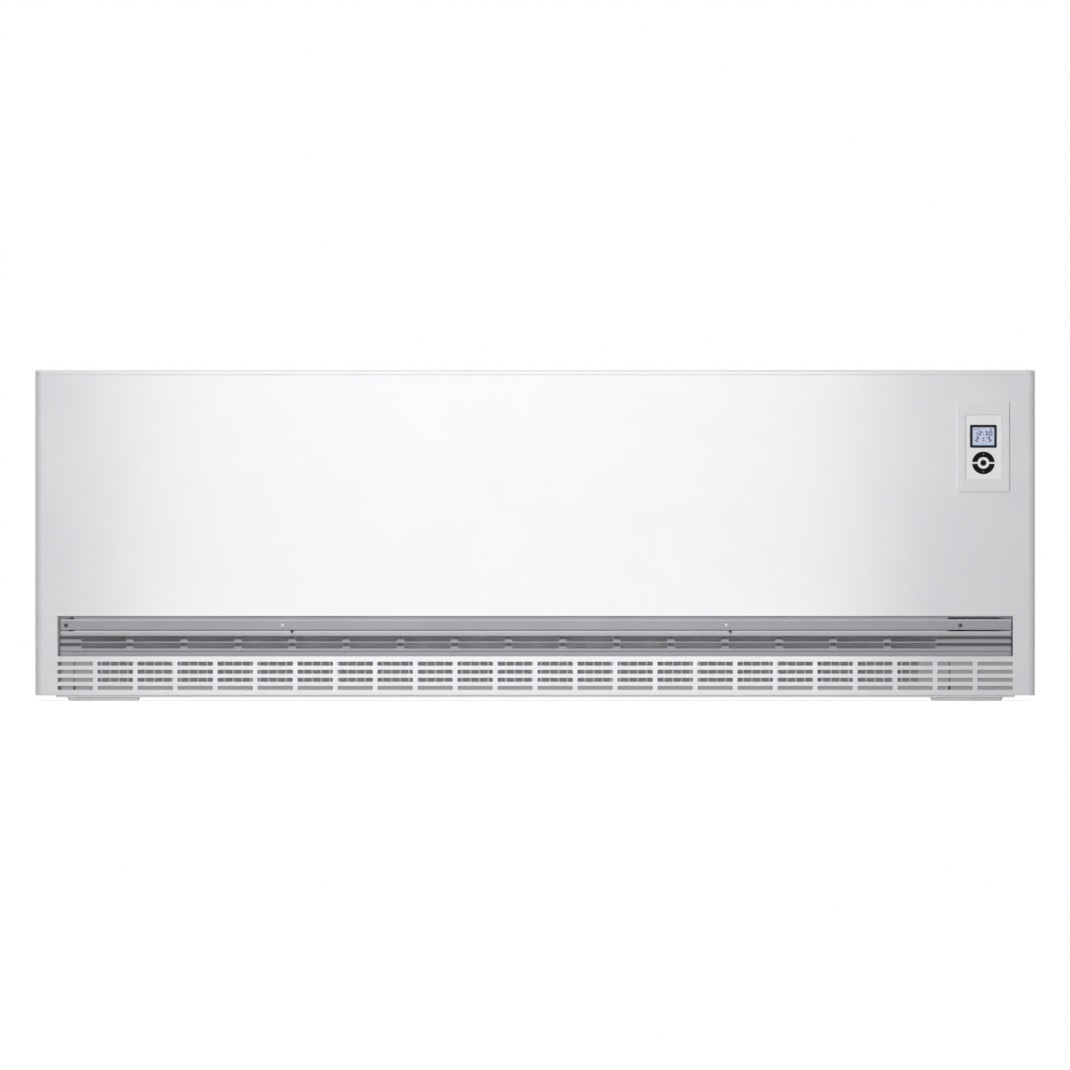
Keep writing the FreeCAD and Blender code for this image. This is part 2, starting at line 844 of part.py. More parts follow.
def grille_rail():
    # a channel behind the grille's flat band, across the front edges of the bulkheads
    face = grille_face + grille_sheet
    web_back = face + rail_sheet
    low, high = grille_screw_z - rail_height / 2, grille_screw_z + rail_height / 2
    rail = box(grille_left, face, low, grille_right, bulkhead_front, high)
    hollow = box(
        grille_left - rail_sheet,
        web_back,
        low + rail_sheet,
        grille_right + rail_sheet,
        bulkhead_front + rail_sheet,
        high - rail_sheet,
    )
    holes = [
        bore_y(x, face, web_back, grille_screw_z, grille_hole_radius)
        for x in zinc_screw_places + black_screw_places
    ]
    return rail.cut([hollow] + holes)


def grille_screw_set(places):
    head_front = grille_face - grille_screw_head
    tip = grille_face + grille_sheet + rail_sheet + screw_reach
    screws = []
    for x in places:
        head = rod_y(x, head_front, grille_face, grille_screw_z, grille_screw_head_radius)
        screws.append(join([head, rod_y(x, grille_face, tip, grille_screw_z, grille_screw_radius)]))
    return Part.makeCompound(screws)


def filter_carrier():
    left, right = -half_width + carrier_left_gap, half_width - carrier_right_gap
    plate = box(left, carrier_face, base_top + sheet, right, filter_face, carrier_top)
    y0, y1 = carrier_face - carrier_thickness, filter_face + carrier_thickness
    cuts = [box(filter_left, y0, filter_bottom, filter_right, y1, filter_top)]
    for x in (-half_width + carrier_slit_left, half_width - carrier_slit_right):
        for width, rise in ((carrier_slit, carrier_slit_rise), (carrier_foot_slit, carrier_foot_rise)):
            cuts.append(box(x - width / 2, y0, base_top, x + width / 2, y1, base_top + rise))
    return plate.cut(cuts)


def lint_filter():
    # a frame behind the carrier's window, with upright ribs that hold the gauze
    back = filter_face + filter_thickness
    left, right = filter_left - filter_border, filter_right + filter_border
    low, high = filter_bottom - filter_border, filter_top + filter_border
    plate = box(left, filter_face, low, right, back, high)
    first = filter_left + filter_first_rib
    ribs = int((filter_right - filter_rib - first) / filter_rib_pitch) + 1
    middles = [first + i * filter_rib_pitch for i in range(ribs)]
    starts = [filter_left] + [x + filter_rib / 2 for x in middles]
    ends = [x - filter_rib / 2 for x in middles] + [filter_right]
    y0, y1 = filter_face - filter_thickness, back + filter_thickness
    return plate.cut([box(a, y0, filter_bottom, b, y1, filter_top) for a, b in zip(starts, ends)])


def bulkhead(side):
    # an upright plate at each end of the core, with a foot that stands on the base plate
    inner = core_left if side < 0 else core_right
    outer = inner + side * bulkhead_sheet
    left, right = sorted((inner, outer))
    foot_left, foot_right = sorted((outer, inner - side * bulkhead_foot))
    foot_top = base_top + bulkhead_sheet
    plate = box(left, bulkhead_front, base_top, right, bulkhead_rear, bulkhead_top)
    step = box(left, bulkhead_front, base_top, right, panel_back, base_top + sheet)
    stand = box(foot_left, panel_back, base_top, foot_right, bulkhead_rear, foot_top)
    shape = join([plate.cut(step), stand])
    if side < 0:
        return shape
    places = [(y, z) for y in leg_sides for z in element_levels]
    holes = [bore_x(left, right, y, z, bush_radius + bush_clearance) for y, z in places]
    holes.append(bore_x(left, right, 0, sensor_z, sensor_radius + element_clearance))
    return shape.cut(holes)


def brick_middles():
    return [brick_start + (i + 0.5) * brick_pitch for i in range(bricks_per_layer)]


def air_channels(middle, low, high):
    # the two upright air channels at one brick
    left, right = middle - channel_length / 2, middle + channel_length / 2
    spans = [(y - channel_width / 2, y + channel_width / 2) for y in (-channel_y, channel_y)]
    return [box(left, y0, low, right, y1, high) for y0, y1 in spans]


def channels_through(plate, low, high):
    margin = high - low
    tools = [air_channels(x, low - margin, high + margin) for x in brick_middles()]
    return plate.cut([tool for pair in tools for tool in pair])


def core_floor():
    plate = box(core_left, -liner_half, floor_bottom, core_right, liner_half, floor_top)
    return channels_through(plate, floor_bottom, floor_top)


def core_legs():
    pitch = (core_right - core_left) / leg_count
    front = bulkhead_rear - leg_size
    legs = []
    for i in range(leg_count):
        left = core_left + (i + 0.5) * pitch - leg_size / 2
        legs.append(box(left, front, base_top, left + leg_size, bulkhead_rear, floor_bottom))
    return Part.makeCompound(legs)


def flap_slot():
    half = flap_length / 2 - flap_overlap
    low = flap_bottom + flap_overlap
    high = pivot_z - knuckle_radius - flap_overlap
    y0, y1 = duct_wall - 2 * duct_sheet, duct_wall + duct_sheet
    return box(core_middle - half, y0, low, core_middle + half, y1, high)


def duct_divider():
    # the floor of the hot air duct and its rear wall, with the opening that the flap covers
    floor = box(core_left, bulkhead_front, duct_floor - duct_sheet, core_right, duct_wall, duct_floor)
    wall = box(core_left, duct_wall - duct_sheet, duct_floor, core_right, duct_wall, floor_bottom)
    return join([floor, wall]).cut(flap_slot())


def side_insulation_boards():
    spans = ((-liner_half, -brick_half), (brick_half, liner_half))
    boards = [box(core_left, y0, floor_top, core_right, y1, bulkhead_top) for y0, y1 in spans]
    return Part.makeCompound(boards)


def bottom_insulation_board():
    board = box(core_left, -brick_half, floor_top, core_right, brick_half, brick_bottom)
    return channels_through(board, floor_top, brick_bottom)


def top_insulation_board():
    return box(core_left, -brick_half, brick_top, core_right, brick_half, bulkhead_top)


def end_insulation_boards():
    # the left board has pockets for the elements' bends, the right one holes for their legs
    left = box(core_left, -brick_half, brick_bottom, brick_start, brick_half, brick_top)
    start = brick_start - bend_gap - element_bend_radius - groove_radius
    reach = element_bend_radius + groove_radius
    pockets = [
        box(start, -reach, z - groove_radius, brick_start + groove_radius, reach, z + groove_radius)
        for z in element_levels
    ]
    right = box(brick_end, -brick_half, brick_bottom, core_right, brick_half, brick_top)
    places = [(y, z) for y in leg_sides for z in element_levels]
    holes = [bore_x(brick_end, core_right, y, z, groove_radius) for y, z in places]
    holes.append(bore_x(brick_end, core_right, 0, sensor_z, sensor_radius + element_clearance))
    return Part.makeCompound([left.cut(pockets), right.cut(holes)])


def brick(middle, low, is_top):
    # two upright air channels, and half-round grooves where an element lies between two layers
    half, high = (brick_pitch - brick_joint) / 2, low + brick_height
    block = box(middle - half, -brick_half, low, middle + half, brick_half, high)
    cuts = air_channels(middle, low - turn_depth, high + turn_depth)
    levels = [low] if is_top else [low, high]
    cuts += [bore_x(middle - half, middle + half, y, z, groove_radius) for y in leg_sides for z in levels]
    if is_top:
        left, right = middle - channel_length / 2, middle + channel_length / 2
        y = channel_y + channel_width / 2
        cuts.append(box(left, -y, high - turn_depth, right, y, high + turn_depth))
    return block.cut(cuts)


def brick_layer(layer):
    low = brick_bottom + layer * brick_height
    is_top = layer == brick_layers - 1
    return Part.makeCompound([brick(middle, low, is_top) for middle in brick_middles()])


def heating_element(z):
    # a tube bent into a long U, with a thinner pin at each end
    centre = Vector(brick_start - bend_gap, 0, z)
    up = Vector(0, 0, 1)
    bend = Part.makeTorus(element_bend_radius, element_radius, centre, up, -180, 180, 180)
    bend.rotate(centre, up, 90)
    tubes = [rod_x(centre.x, tube_end, y, z, element_radius) for y in leg_sides]
    pins = [rod_x(tube_end, pin_end, y, z, pin_radius) for y in leg_sides]
    return join([bend] + tubes + pins)


def heating_elements():
    return Part.makeCompound([heating_element(z) for z in element_levels])


def element_bush(y, z):
    outer = core_right + bulkhead_sheet
    end = core_right + bush_length
    body = join(
        [
            rod_x(core_right, end, y, z, bush_radius),
            rod_x(outer, outer + bush_flange, y, z, bush_flange_radius),
        ]
    )
    return body.cut(bore_x(core_right, end, y, z, element_radius + bush_clearance))


def element_bushes():
    return Part.makeCompound([element_bush(y, z) for y in leg_sides for z in element_levels])


def busbars():
    low, high = element_levels[0] - busbar_width, element_levels[-1] + busbar_width
    bars = []
    for y in leg_sides:
        bar = box(busbar_start, y - busbar_width / 2, low, busbar_end, y + busbar_width / 2, high)
        holes = [bore_x(busbar_start, busbar_end, y, z, pin_hole_radius) for z in element_levels]
        bars.append(bar.cut(holes))
    return Part.makeCompound(bars)


def busbar_nut(y, z):
    corner = nut_flats / math.sqrt(3)
    turns = [i * math.pi / 3 for i in range(6)]
    points = [(busbar_end, y + corner * math.cos(turn), z + corner * math.sin(turn)) for turn in turns]
    bore = bore_x(busbar_end, busbar_end + nut_height, y, z, pin_hole_radius)
    return prism(points, (nut_height, 0, 0)).cut(bore)


def busbar_nuts():
    return Part.makeCompound([busbar_nut(y, z) for y in leg_sides for z in element_levels])


def core_sensor():
    return rod_x(brick_end + element_clearance, bay_wall + cutout_length, 0, sensor_z, sensor_radius)


def thermal_cutout():
    end, half = bay_wall + cutout_length, cutout_width / 2
    case = box(bay_wall, -half, cutout_bottom, end, half, cutout_bottom + cutout_height)
    case = round_along(case, Vector(1, 0, 0), case_corner)
    return case.cut(bore_x(bay_wall, end, 0, sensor_z, sensor_radius + bush_clearance))


def terminal_block():
    front = bulkhead_rear - terminal_inset - terminal_width
    low = base_top + terminal_rise
    end = bay_wall + terminal_length
    block = box(bay_wall, front, low, end, front + terminal_width, low + terminal_height)
    pitch = terminal_width / terminal_poles
    bores = []
    for i in range(terminal_poles):
        y = front + (i + 0.5) * pitch
        for z in (low + terminal_bore_inset, low + terminal_height - terminal_bore_inset):
            bores.append(rod_x(end - terminal_bore_depth, end + terminal_bore, y, z, terminal_bore))
    return block.cut(bores)


def cable_clamp():
    front = bulkhead_rear - clamp_inset - clamp_width
    back = front + clamp_width
    left, right = grommet_x - clamp_length / 2, grommet_x + clamp_length / 2
    saddle = box(left, front, base_top, right, back, base_top + clamp_height)
    saddle = round_along(saddle, Vector(0, 1, 0), case_corner)
    return saddle.cut(bore_y(grommet_x, front, back, base_top + clamp_height / 2, cable_bore_radius))


def fan_rod(start, end, radius):
    # round stock on the fan's axis, placed from the middle of the core
    return rod_x(core_middle + start, core_middle + end, fan_y, fan_z, radius)


def fan_motor():
    half = motor_length / 2
    end = half + motor_cap
    room = half - motor_wall
    body = join([fan_rod(-half, half, motor_radius), fan_rod(-end, end, motor_cap_radius)])
    cavity = fan_rod(-room, room, rotor_radius + rotor_gap)
    bore = fan_rod(-end - motor_cap, end + motor_cap, shaft_radius + running_clearance)
    return body.cut([cavity, bore])


def motor_cradle():
    half, side = cradle_length / 2, cradle_width / 2
    left, right = core_middle - half, core_middle + half
    block = box(left, fan_y - side, base_top, right, fan_y + side, base_top + cradle_height)
    return block.cut(fan_rod(-cradle_length, cradle_length, motor_radius + bush_clearance))


def fan_shaft():
    rotor_half = motor_length / 2 - motor_wall - rotor_gap
    rotor = fan_rod(-rotor_half, rotor_half, rotor_radius)
    return join([fan_rod(-shaft_half, shaft_half, shaft_radius), rotor])


def impeller(side):
    start = impeller_start if side > 0 else -impeller_start - impeller_length
    end = start + impeller_length
    step = (impeller_length - disc_thickness) / disc_bays
    discs = [start + i * step for i in range(disc_bays + 1)]
    shapes = [fan_rod(x, x + disc_thickness, impeller_radius) for x in discs]
    left, axis = core_middle + start, Vector(1, 0, 0)
    tip = impeller_radius - blade_thickness
    blade = box(
        left,
        fan_y - blade_thickness / 2,
        fan_z + tip - blade_depth,
        core_middle + end,
        fan_y + blade_thickness / 2,
        fan_z + tip,
    )
    blade.rotate(Vector(left, fan_y, fan_z + tip - blade_depth / 2), axis, blade_lean)
    for i in range(blade_count):
        turned = blade.copy()
        turned.rotate(Vector(left, fan_y, fan_z), axis, 360 / blade_count * i)
        shapes.append(turned)
    return join(shapes).cut(fan_rod(start - shaft_radius, end + shaft_radius, shaft_radius + hub_clearance))


def fan_bearings():
    end = bearing_start + bearing_length
    bearings = []
    for a, b in ((bearing_start, end), (-end, -bearing_start)):
        bore = fan_rod(a - shaft_radius, b + shaft_radius, shaft_radius + running_clearance)
        bearings.append(fan_rod(a, b, bearing_radius).cut(bore))
    return Part.makeCompound(bearings)


def bearing_brackets():
    brackets = []
    for side in (-1, 1):
        middle = side * (bearing_start + bearing_length / 2)
        start, end = middle - bracket_thickness / 2, middle + bracket_thickness / 2
        left, right = core_middle + start, core_middle + end
        stem = box(left, fan_y - bracket_radius, base_top, right, fan_y + bracket_radius, fan_z)
        plate = join([stem, fan_rod(start, end, bracket_radius)])
        bore = fan_rod(start - bearing_radius, end + bearing_radius, bearing_radius + bush_clearance)
        brackets.append(plate.cut(bore))
    return Part.makeCompound(brackets)


def scroll_point(x, radius, angle):
    turn = math.radians(angle)
    return Vector(x, fan_y + radius * math.cos(turn), fan_z + radius * math.sin(turn))


def scroll_wrap(left, length):
    angles = (scroll_start, scroll_start + scroll_sweep / 2, scroll_start + scroll_sweep)
    inner = [scroll_point(left, scroll_radius, angle) for angle in angles]
    outer = [scroll_point(left, scroll_outer, angle) for angle in angles]
    outline = [
        Part.Arc(*inner).toShape(),
        Part.makeLine(inner[2], outer[2]),
        Part.Arc(*reversed(outer)).toShape(),
        Part.makeLine(outer[0], inner[0]),
    ]
    return Part.Face(Part.Wire(outline)).extrude(Vector(length, 0, 0))


def fan_scrolls():
    length = impeller_length + 2 * scroll_overhang
    half = scroll_foot_width / 2
    scrolls = []
    for start in (impeller_start - scroll_overhang, -impeller_start + scroll_overhang - length):
        left, seat_top = core_middle + start, base_top + scroll_foot + scroll_sheet
        seat = box(left, fan_y - half, base_top, left + length, fan_y + half, seat_top)
        room = fan_rod(start - scroll_overhang, start + length + scroll_overhang, scroll_radius)
        scrolls.append(join([scroll_wrap(left, length), seat.cut(room)]))
    return Part.makeCompound(scrolls)


def mixing_flap():
    left, right = core_middle - flap_length / 2, core_middle + flap_length / 2
    back = duct_wall - duct_sheet - flap_gap
    plate = box(left, back - flap_sheet, flap_bottom, right, back, pivot_z)
    knuckle = rod_x(left, right, pivot_y, pivot_z, knuckle_radius)
    bore = bore_x(left, right, pivot_y, pivot_z, flap_rod_radius + running_clearance)
    return join([plate, knuckle]).cut(bore)


def flap_rod():
    reach = flap_length / 2 + flap_end_gap + flap_bracket
    return rod_x(core_middle - reach, core_middle + reach, pivot_y, pivot_z, flap_rod_radius)


def flap_brackets():
    wall = duct_wall - duct_sheet
    rim = flap_rod_radius + flap_bracket_rim
    brackets = []
    for side in (-1, 1):
        inner = core_middle + side * (flap_length / 2 + flap_end_gap)
        left, right = sorted((inner, inner + side * flap_bracket))
        block = box(left, pivot_y - rim, pivot_z - rim, right, wall, pivot_z + rim)
        brackets.append(block.cut(bore_x(left, right, pivot_y, pivot_z, flap_rod_radius + running_clearance)))
    return Part.makeCompound(brackets)


def control_plate(width, height, y0, y1, corner):
    return rounded_plate(control_x, control_z, width, height, y0, y1, corner)


def control_bezel():
    # a raised frame on the front panel, with a ledge for the fascia and a skirt for the board
    frame = control_plate(bezel_width, bezel_height, bezel_face, front_y, bezel_corner)
    frame = frame.makeFillet(bezel_edge, edges_where(frame, lambda p: near(p.y, bezel_face)))
    gap = 2 * (bezel_overlap + bezel_clearance)
    width, height = bezel_width - gap, bezel_height - gap
    skirt = control_plate(width, height, front_y, bezel_back, bezel_corner)
    ledge_back = fascia_back + ledge_thickness
    ledge_width, ledge_height = fascia_width - 2 * ledge, fascia_height - 2 * ledge
    room_width, room_height = width - 2 * bezel_wall, height - 2 * bezel_wall
    cuts = [
        control_plate(fascia_width, fascia_height, bezel_face - sheet, fascia_back, fascia_corner),
        control_plate(ledge_width, ledge_height, fascia_back - sheet, ledge_back + sheet, fascia_corner),
        control_plate(room_width, room_height, ledge_back, bezel_back + sheet, fascia_corner),
    ]
    return join([frame, skirt]).cut(cuts)


def key_sector(side, outer, inner, gap, y0, y1):
    # the upper or lower half of a ring, kept clear of the two spokes
    ring = rod_y(control_x, y0, y1, key_z, outer).cut(bore_y(control_x, y0, y1, key_z, inner))
    low, high = sorted((key_z + side * gap, key_z + side * 2 * outer))
    return ring.common(box(control_x - 2 * outer, y0, low, control_x + 2 * outer, y1, high))


def control_fascia():
    width, height = fascia_width - 2 * fascia_clearance, fascia_height - 2 * fascia_clearance
    plate = control_plate(width, height, fascia_face, fascia_back, fascia_corner)
    y0, y1 = fascia_face - fascia_thickness, fascia_back + fascia_thickness
    cuts = [
        rounded_plate(control_x, display_z, display_width, display_height, y0, y1, display_corner),
        bore_y(control_x, fascia_face, fascia_back, key_z, ok_radius),
    ]
    cuts += [key_sector(side, key_radius, key_inner_radius, key_spoke / 2, y0, y1) for side in (-1, 1)]
    return plate.cut(cuts)


def display_plate(margin, y0, y1, corner):
    # a plate at the display, larger than its opening by the margin on each side
    width, height = display_width + 2 * margin, display_height + 2 * margin
    return rounded_plate(control_x, display_z, width, height, y0, y1, corner)


def display_lens():
    face = fascia_face - display_proud
    flange_back = fascia_back + display_flange_thickness
    pane = display_plate(-fascia_clearance, face, fascia_back, display_corner)
    pane = pane.makeFillet(display_proud, edges_where(pane, lambda p: near(p.y, face)))
    return join([pane, display_plate(display_flange, fascia_back, flange_back, display_corner)])


def lcd_module():
    return display_plate(-lcd_margin, fascia_back + display_flange_thickness, bezel_back, display_corner)


def soft_front(shape):
    return shape.makeFillet(key_edge, edges_where(shape, lambda p: near(p.y, key_face)))


def arrow_key(side):
    outer, inner = key_radius - key_clearance, key_inner_radius + key_clearance
    rim, hub = key_radius + key_flange, key_inner_radius - key_flange
    stem = key_sector(side, outer, inner, key_spoke / 2 + key_clearance, key_face, key_seat)
    flange = key_sector(side, rim, hub, key_spoke / 4, key_seat, key_back)
    return join([soft_front(stem), flange])


def ok_key():
    stem = rod_y(control_x, key_face, key_seat, key_z, ok_radius - key_clearance)
    flange = rod_y(control_x, key_seat, key_back, key_z, ok_radius + key_flange)
    return join([soft_front(stem), flange])


def key_mat():
    # a soft sheet on the board, with a dome behind each key that the key reaches at its full travel
    face = bezel_back - mat_sheet
    size = 2 * (key_radius + mat_margin)
    reach = (key_radius + key_inner_radius) / 2
    tip = key_back + key_travel + key_stop_gap
    mat = rounded_plate(control_x, key_z, size, size, face, bezel_back, display_corner)
    domes = [rod_y(control_x, tip, face, key_z + side * reach, dome_radius) for side in (-1, 0, 1)]
    return join([mat] + domes)


def control_board():
    gap = 2 * (bezel_overlap + board_margin)
    back = bezel_back + board_thickness
    return control_plate(bezel_width - gap, bezel_height - gap, bezel_back, back, case_corner)


pieces = {
    "front_panel": front_panel(),
    "left_side_panel": side_panel(-1),
    "right_side_panel": side_panel(1),
    "top_cover": top_cover(),
    "rear_panel": rear_panel(),
    "base_plate": base_plate(),
    "left_foot": foot(-1),
    "right_foot": foot(1),
    "foot_rivets": foot_rivets(),
    "casing_screws": casing_screws(),
    "rear_panel_screws": rear_panel_screws(),
    "wall_spacers": wall_spacers(),
    "cable_grommet": cable_grommet(),
    "outlet_grille": outlet_grille(),
    "grille_rail": grille_rail(),
    "grille_screws": grille_screw_set(zinc_screw_places),
    "grille_end_screws": grille_screw_set(black_screw_places),
    "filter_carrier": filter_carrier(),
    "lint_filter": lint_filter(),
    "left_bulkhead": bulkhead(-1),
    "right_bulkhead": bulkhead(1),
    "core_floor": core_floor(),
    "core_legs": core_legs(),
    "duct_divider": duct_divider(),
    "side_insulation": side_insulation_boards(),
    "end_insulation": end_insulation_boards(),
    "top_insulation": top_insulation_board(),
    "bottom_insulation": bottom_insulation_board(),
    "heating_elements": heating_elements(),
    "element_bushes": element_bushes(),
    "busbars": busbars(),
    "busbar_nuts": busbar_nuts(),
    "core_sensor": core_sensor(),
    "thermal_cutout": thermal_cutout(),
    "terminal_block": terminal_block(),
    "cable_clamp": cable_clamp(),
    "fan_motor": fan_motor(),
    "motor_cradle": motor_cradle(),
    "fan_shaft": fan_shaft(),
    "left_impeller": impeller(-1),
    "right_impeller": impeller(1),
    "fan_bearings": fan_bearings(),
    "bearing_brackets": bearing_brackets(),
    "fan_scrolls": fan_scrolls(),
    "mixing_flap": mixing_flap(),
    "flap_rod": flap_rod(),
    "flap_brackets": flap_brackets(),
    "control_bezel": control_bezel(),
    "control_fascia": control_fascia(),
    "display_lens": display_lens(),
    "lcd_module": lcd_module(),
    "up_key": arrow_key(1),
    "down_key": arrow_key(-1),
    "ok_key": ok_key(),
    "key_mat": key_mat(),
    "control_board": control_board(),
}
for layer in range(brick_layers):
    pieces[f"brick_layer_{layer + 1}"] = brick_layer(layer)

os.makedirs("parts", exist_ok=True)
for name, shape in pieces.items():
    shape.exportStep(f"parts/{name}.step")
    print(name, len(shape.Solids), round(shape.Volume), shape.isValid())
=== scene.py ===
import json
import math

import bmesh
import bpy
from mathutils import Matrix, Vector


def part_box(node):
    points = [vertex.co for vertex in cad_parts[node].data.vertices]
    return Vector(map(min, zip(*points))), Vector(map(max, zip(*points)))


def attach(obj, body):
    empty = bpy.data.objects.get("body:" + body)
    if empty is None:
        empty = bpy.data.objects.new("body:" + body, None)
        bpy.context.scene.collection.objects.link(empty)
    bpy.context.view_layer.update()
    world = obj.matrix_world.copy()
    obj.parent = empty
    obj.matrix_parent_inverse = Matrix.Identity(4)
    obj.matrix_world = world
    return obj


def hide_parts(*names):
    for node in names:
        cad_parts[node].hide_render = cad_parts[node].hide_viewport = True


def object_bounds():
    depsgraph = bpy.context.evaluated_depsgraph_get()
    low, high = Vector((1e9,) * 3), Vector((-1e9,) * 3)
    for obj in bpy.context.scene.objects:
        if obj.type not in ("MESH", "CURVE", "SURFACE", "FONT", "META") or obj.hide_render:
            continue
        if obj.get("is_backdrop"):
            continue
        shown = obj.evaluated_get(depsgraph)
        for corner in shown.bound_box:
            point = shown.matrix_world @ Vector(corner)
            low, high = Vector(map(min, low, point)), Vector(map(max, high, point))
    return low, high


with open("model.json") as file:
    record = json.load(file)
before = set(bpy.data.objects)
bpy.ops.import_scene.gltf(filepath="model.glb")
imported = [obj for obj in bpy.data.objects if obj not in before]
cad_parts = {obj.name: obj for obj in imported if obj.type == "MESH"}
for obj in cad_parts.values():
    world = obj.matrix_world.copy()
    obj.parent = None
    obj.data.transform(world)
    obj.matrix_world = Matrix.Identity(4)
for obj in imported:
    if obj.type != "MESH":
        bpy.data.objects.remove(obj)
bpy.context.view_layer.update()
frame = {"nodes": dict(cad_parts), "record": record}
nodes = frame["nodes"]
slotOf = {part["node"]: part["material_slot"] for part in frame["record"]["subparts"]}
mm = 0.001


def addNode(tree, kind, **settings):
    node = tree.nodes.new(kind)
    for key, value in settings.items():
        setattr(node, key, value)
    return node


def wire(tree, *pairs):
    for source, target in pairs:
        tree.links.new(source, target)


def openTree(name, kind, inputs, outputs):
    tree = bpy.data.node_groups.new(name, kind)
    for label, socket in inputs.items():
        tree.interface.new_socket(label, in_out="INPUT", socket_type=socket)
    for label, socket in outputs.items():
        tree.interface.new_socket(label, in_out="OUTPUT", socket_type=socket)
    return tree, addNode(tree, "NodeGroupInput"), addNode(tree, "NodeGroupOutput")


def noiseNode(tree, detail, roughness):
    noise = addNode(tree, "ShaderNodeTexNoise")
    noise.inputs["Detail"].default_value = detail
    noise.inputs["Roughness"].default_value = roughness
    return noise


def mathNode(tree, operation, value=None):
    node = addNode(tree, "ShaderNodeMath", operation=operation)
    if value is not None:
        node.inputs[1].default_value = value
    return node


def spreadNode(tree, low, high):
    # stretches the values from low to high to the full 0 to 1
    node = addNode(tree, "ShaderNodeMapRange")
    node.inputs["From Min"].default_value = low
    node.inputs["From Max"].default_value = high
    return node


def openGrain(name):
    sockets = {"Vector": "NodeSocketVector", "Scale": "NodeSocketFloat"}
    return openTree(name, "ShaderNodeTree", sockets, {"Tone": "NodeSocketFloat", "Height": "NodeSocketFloat"})


def cloudTone(tree, given, result, cloud, slowing):
    # slow clouding of the colour, at a share of the grain's own scale
    slow = mathNode(tree, "MULTIPLY", slowing)
    spread = spreadNode(tree, 0.3, 0.7)
    wire(
        tree,
        (given.outputs["Scale"], slow.inputs[0]),
        (given.outputs["Vector"], cloud.inputs["Vector"]),
        (slow.outputs[0], cloud.inputs["Scale"]),
        (cloud.outputs["Fac"], spread.inputs["Value"]),
        (spread.outputs["Result"], result.inputs["Tone"]),
    )


def powderPeel():
    # orange peel of a baked powder coat
    tree, given, result = openGrain("powderPeel")
    peel = noiseNode(tree, 2.0, 0.45)
    cloudTone(tree, given, result, noiseNode(tree, 3.0, 0.5), 0.01)
    wire(
        tree,
        (given.outputs["Vector"], peel.inputs["Vector"]),
        (given.outputs["Scale"], peel.inputs["Scale"]),
        (peel.outputs["Fac"], result.inputs["Height"]),
    )
    return tree


def mouldGrain():
    # fine spark-eroded grain of moulded plastic and rubber
    tree, given, result = openGrain("mouldGrain")
    pits = addNode(tree, "ShaderNodeTexVoronoi", feature="SMOOTH_F1")
    cloudTone(tree, given, result, noiseNode(tree, 4.0, 0.6), 0.04)
    wire(
        tree,
        (given.outputs["Vector"], pits.inputs["Vector"]),
        (given.outputs["Scale"], pits.inputs["Scale"]),
        (pits.outputs["Distance"], result.inputs["Height"]),
    )
    return tree


def zincSpangle():
    # crystals of a hot-dip zinc coat: each cell has its own grey, with fine rolling marks over them
    tree, given, result = openGrain("zincSpangle")
    warp = noiseNode(tree, 2.0, 0.5)
    shift = addNode(tree, "ShaderNodeMix", data_type="VECTOR")
    shift.inputs["Factor"].default_value = 0.012
    cells = addNode(tree, "ShaderNodeTexVoronoi")
    split = addNode(tree, "ShaderNodeSeparateColor")
    marks = noiseNode(tree, 6.0, 0.7)
    fine = mathNode(tree, "MULTIPLY", 9.0)
    mix = addNode(tree, "ShaderNodeMix")
    mix.inputs["Factor"].default_value = 0.35
    wire(
        tree,
        (given.outputs["Vector"], warp.inputs["Vector"]),
        (given.outputs["Scale"], warp.inputs["Scale"]),
        (given.outputs["Vector"], shift.inputs[4]),
        (warp.outputs["Color"], shift.inputs[5]),
        (shift.outputs[1], cells.inputs["Vector"]),
        (given.outputs["Scale"], cells.inputs["Scale"]),
        (cells.outputs["Color"], split.inputs["Color"]),
        (given.outputs["Scale"], fine.inputs[0]),
        (given.outputs["Vector"], marks.inputs["Vector"]),
        (fine.outputs[0], marks.inputs["Scale"]),
        (split.outputs["Red"], mix.inputs[2]),
        (marks.outputs["Fac"], mix.inputs[3]),
        (mix.outputs[0], result.inputs["Tone"]),
        (marks.outputs["Fac"], result.inputs["Height"]),
    )
    return tree


def drawnStreak():
    # marks that run along X, as on drawn, turned or rolled metal
    tree, given, result = openGrain("drawnStreak")
    stretch = addNode(tree, "ShaderNodeMapping")
    stretch.inputs["Scale"].default_value = (0.03, 1.0, 1.0)
    streak = noiseNode(tree, 5.0, 0.65)
    spread = spreadNode(tree, 0.3, 0.7)
    wire(
        tree,
        (given.outputs["Vector"], stretch.inputs["Vector"]),
        (stretch.outputs["Vector"], streak.inputs["Vector"]),
        (given.outputs["Scale"], streak.inputs["Scale"]),
        (streak.outputs["Fac"], spread.inputs["Value"]),
        (spread.outputs["Result"], result.inputs["Tone"]),
        (streak.outputs["Fac"], result.inputs["Height"]),
    )
    return tree


def firedGrit():
    # coarse grains and small pits of fired brick, ceramic and pressed mineral board
    tree, given, result = openGrain("firedGrit")
    grit = noiseNode(tree, 8.0, 0.7)
    pits = addNode(tree, "ShaderNodeTexVoronoi")
    spread = spreadNode(tree, 0.35, 0.65)
    depth = addNode(tree, "ShaderNodeMix")
    depth.inputs["Factor"].default_value = 0.4
    wire(
        tree,
        (given.outputs["Vector"], grit.inputs["Vector"]),
        (given.outputs["Vector"], pits.inputs["Vector"]),
        (given.outputs["Scale"], grit.inputs["Scale"]),
        (given.outputs["Scale"], pits.inputs["Scale"]),
        (grit.outputs["Fac"], spread.inputs["Value"]),
        (spread.outputs["Result"], result.inputs["Tone"]),
        (grit.outputs["Fac"], depth.inputs[2]),
        (pits.outputs["Distance"], depth.inputs[3]),
        (depth.outputs[0], result.inputs["Height"]),
    )
    return tree


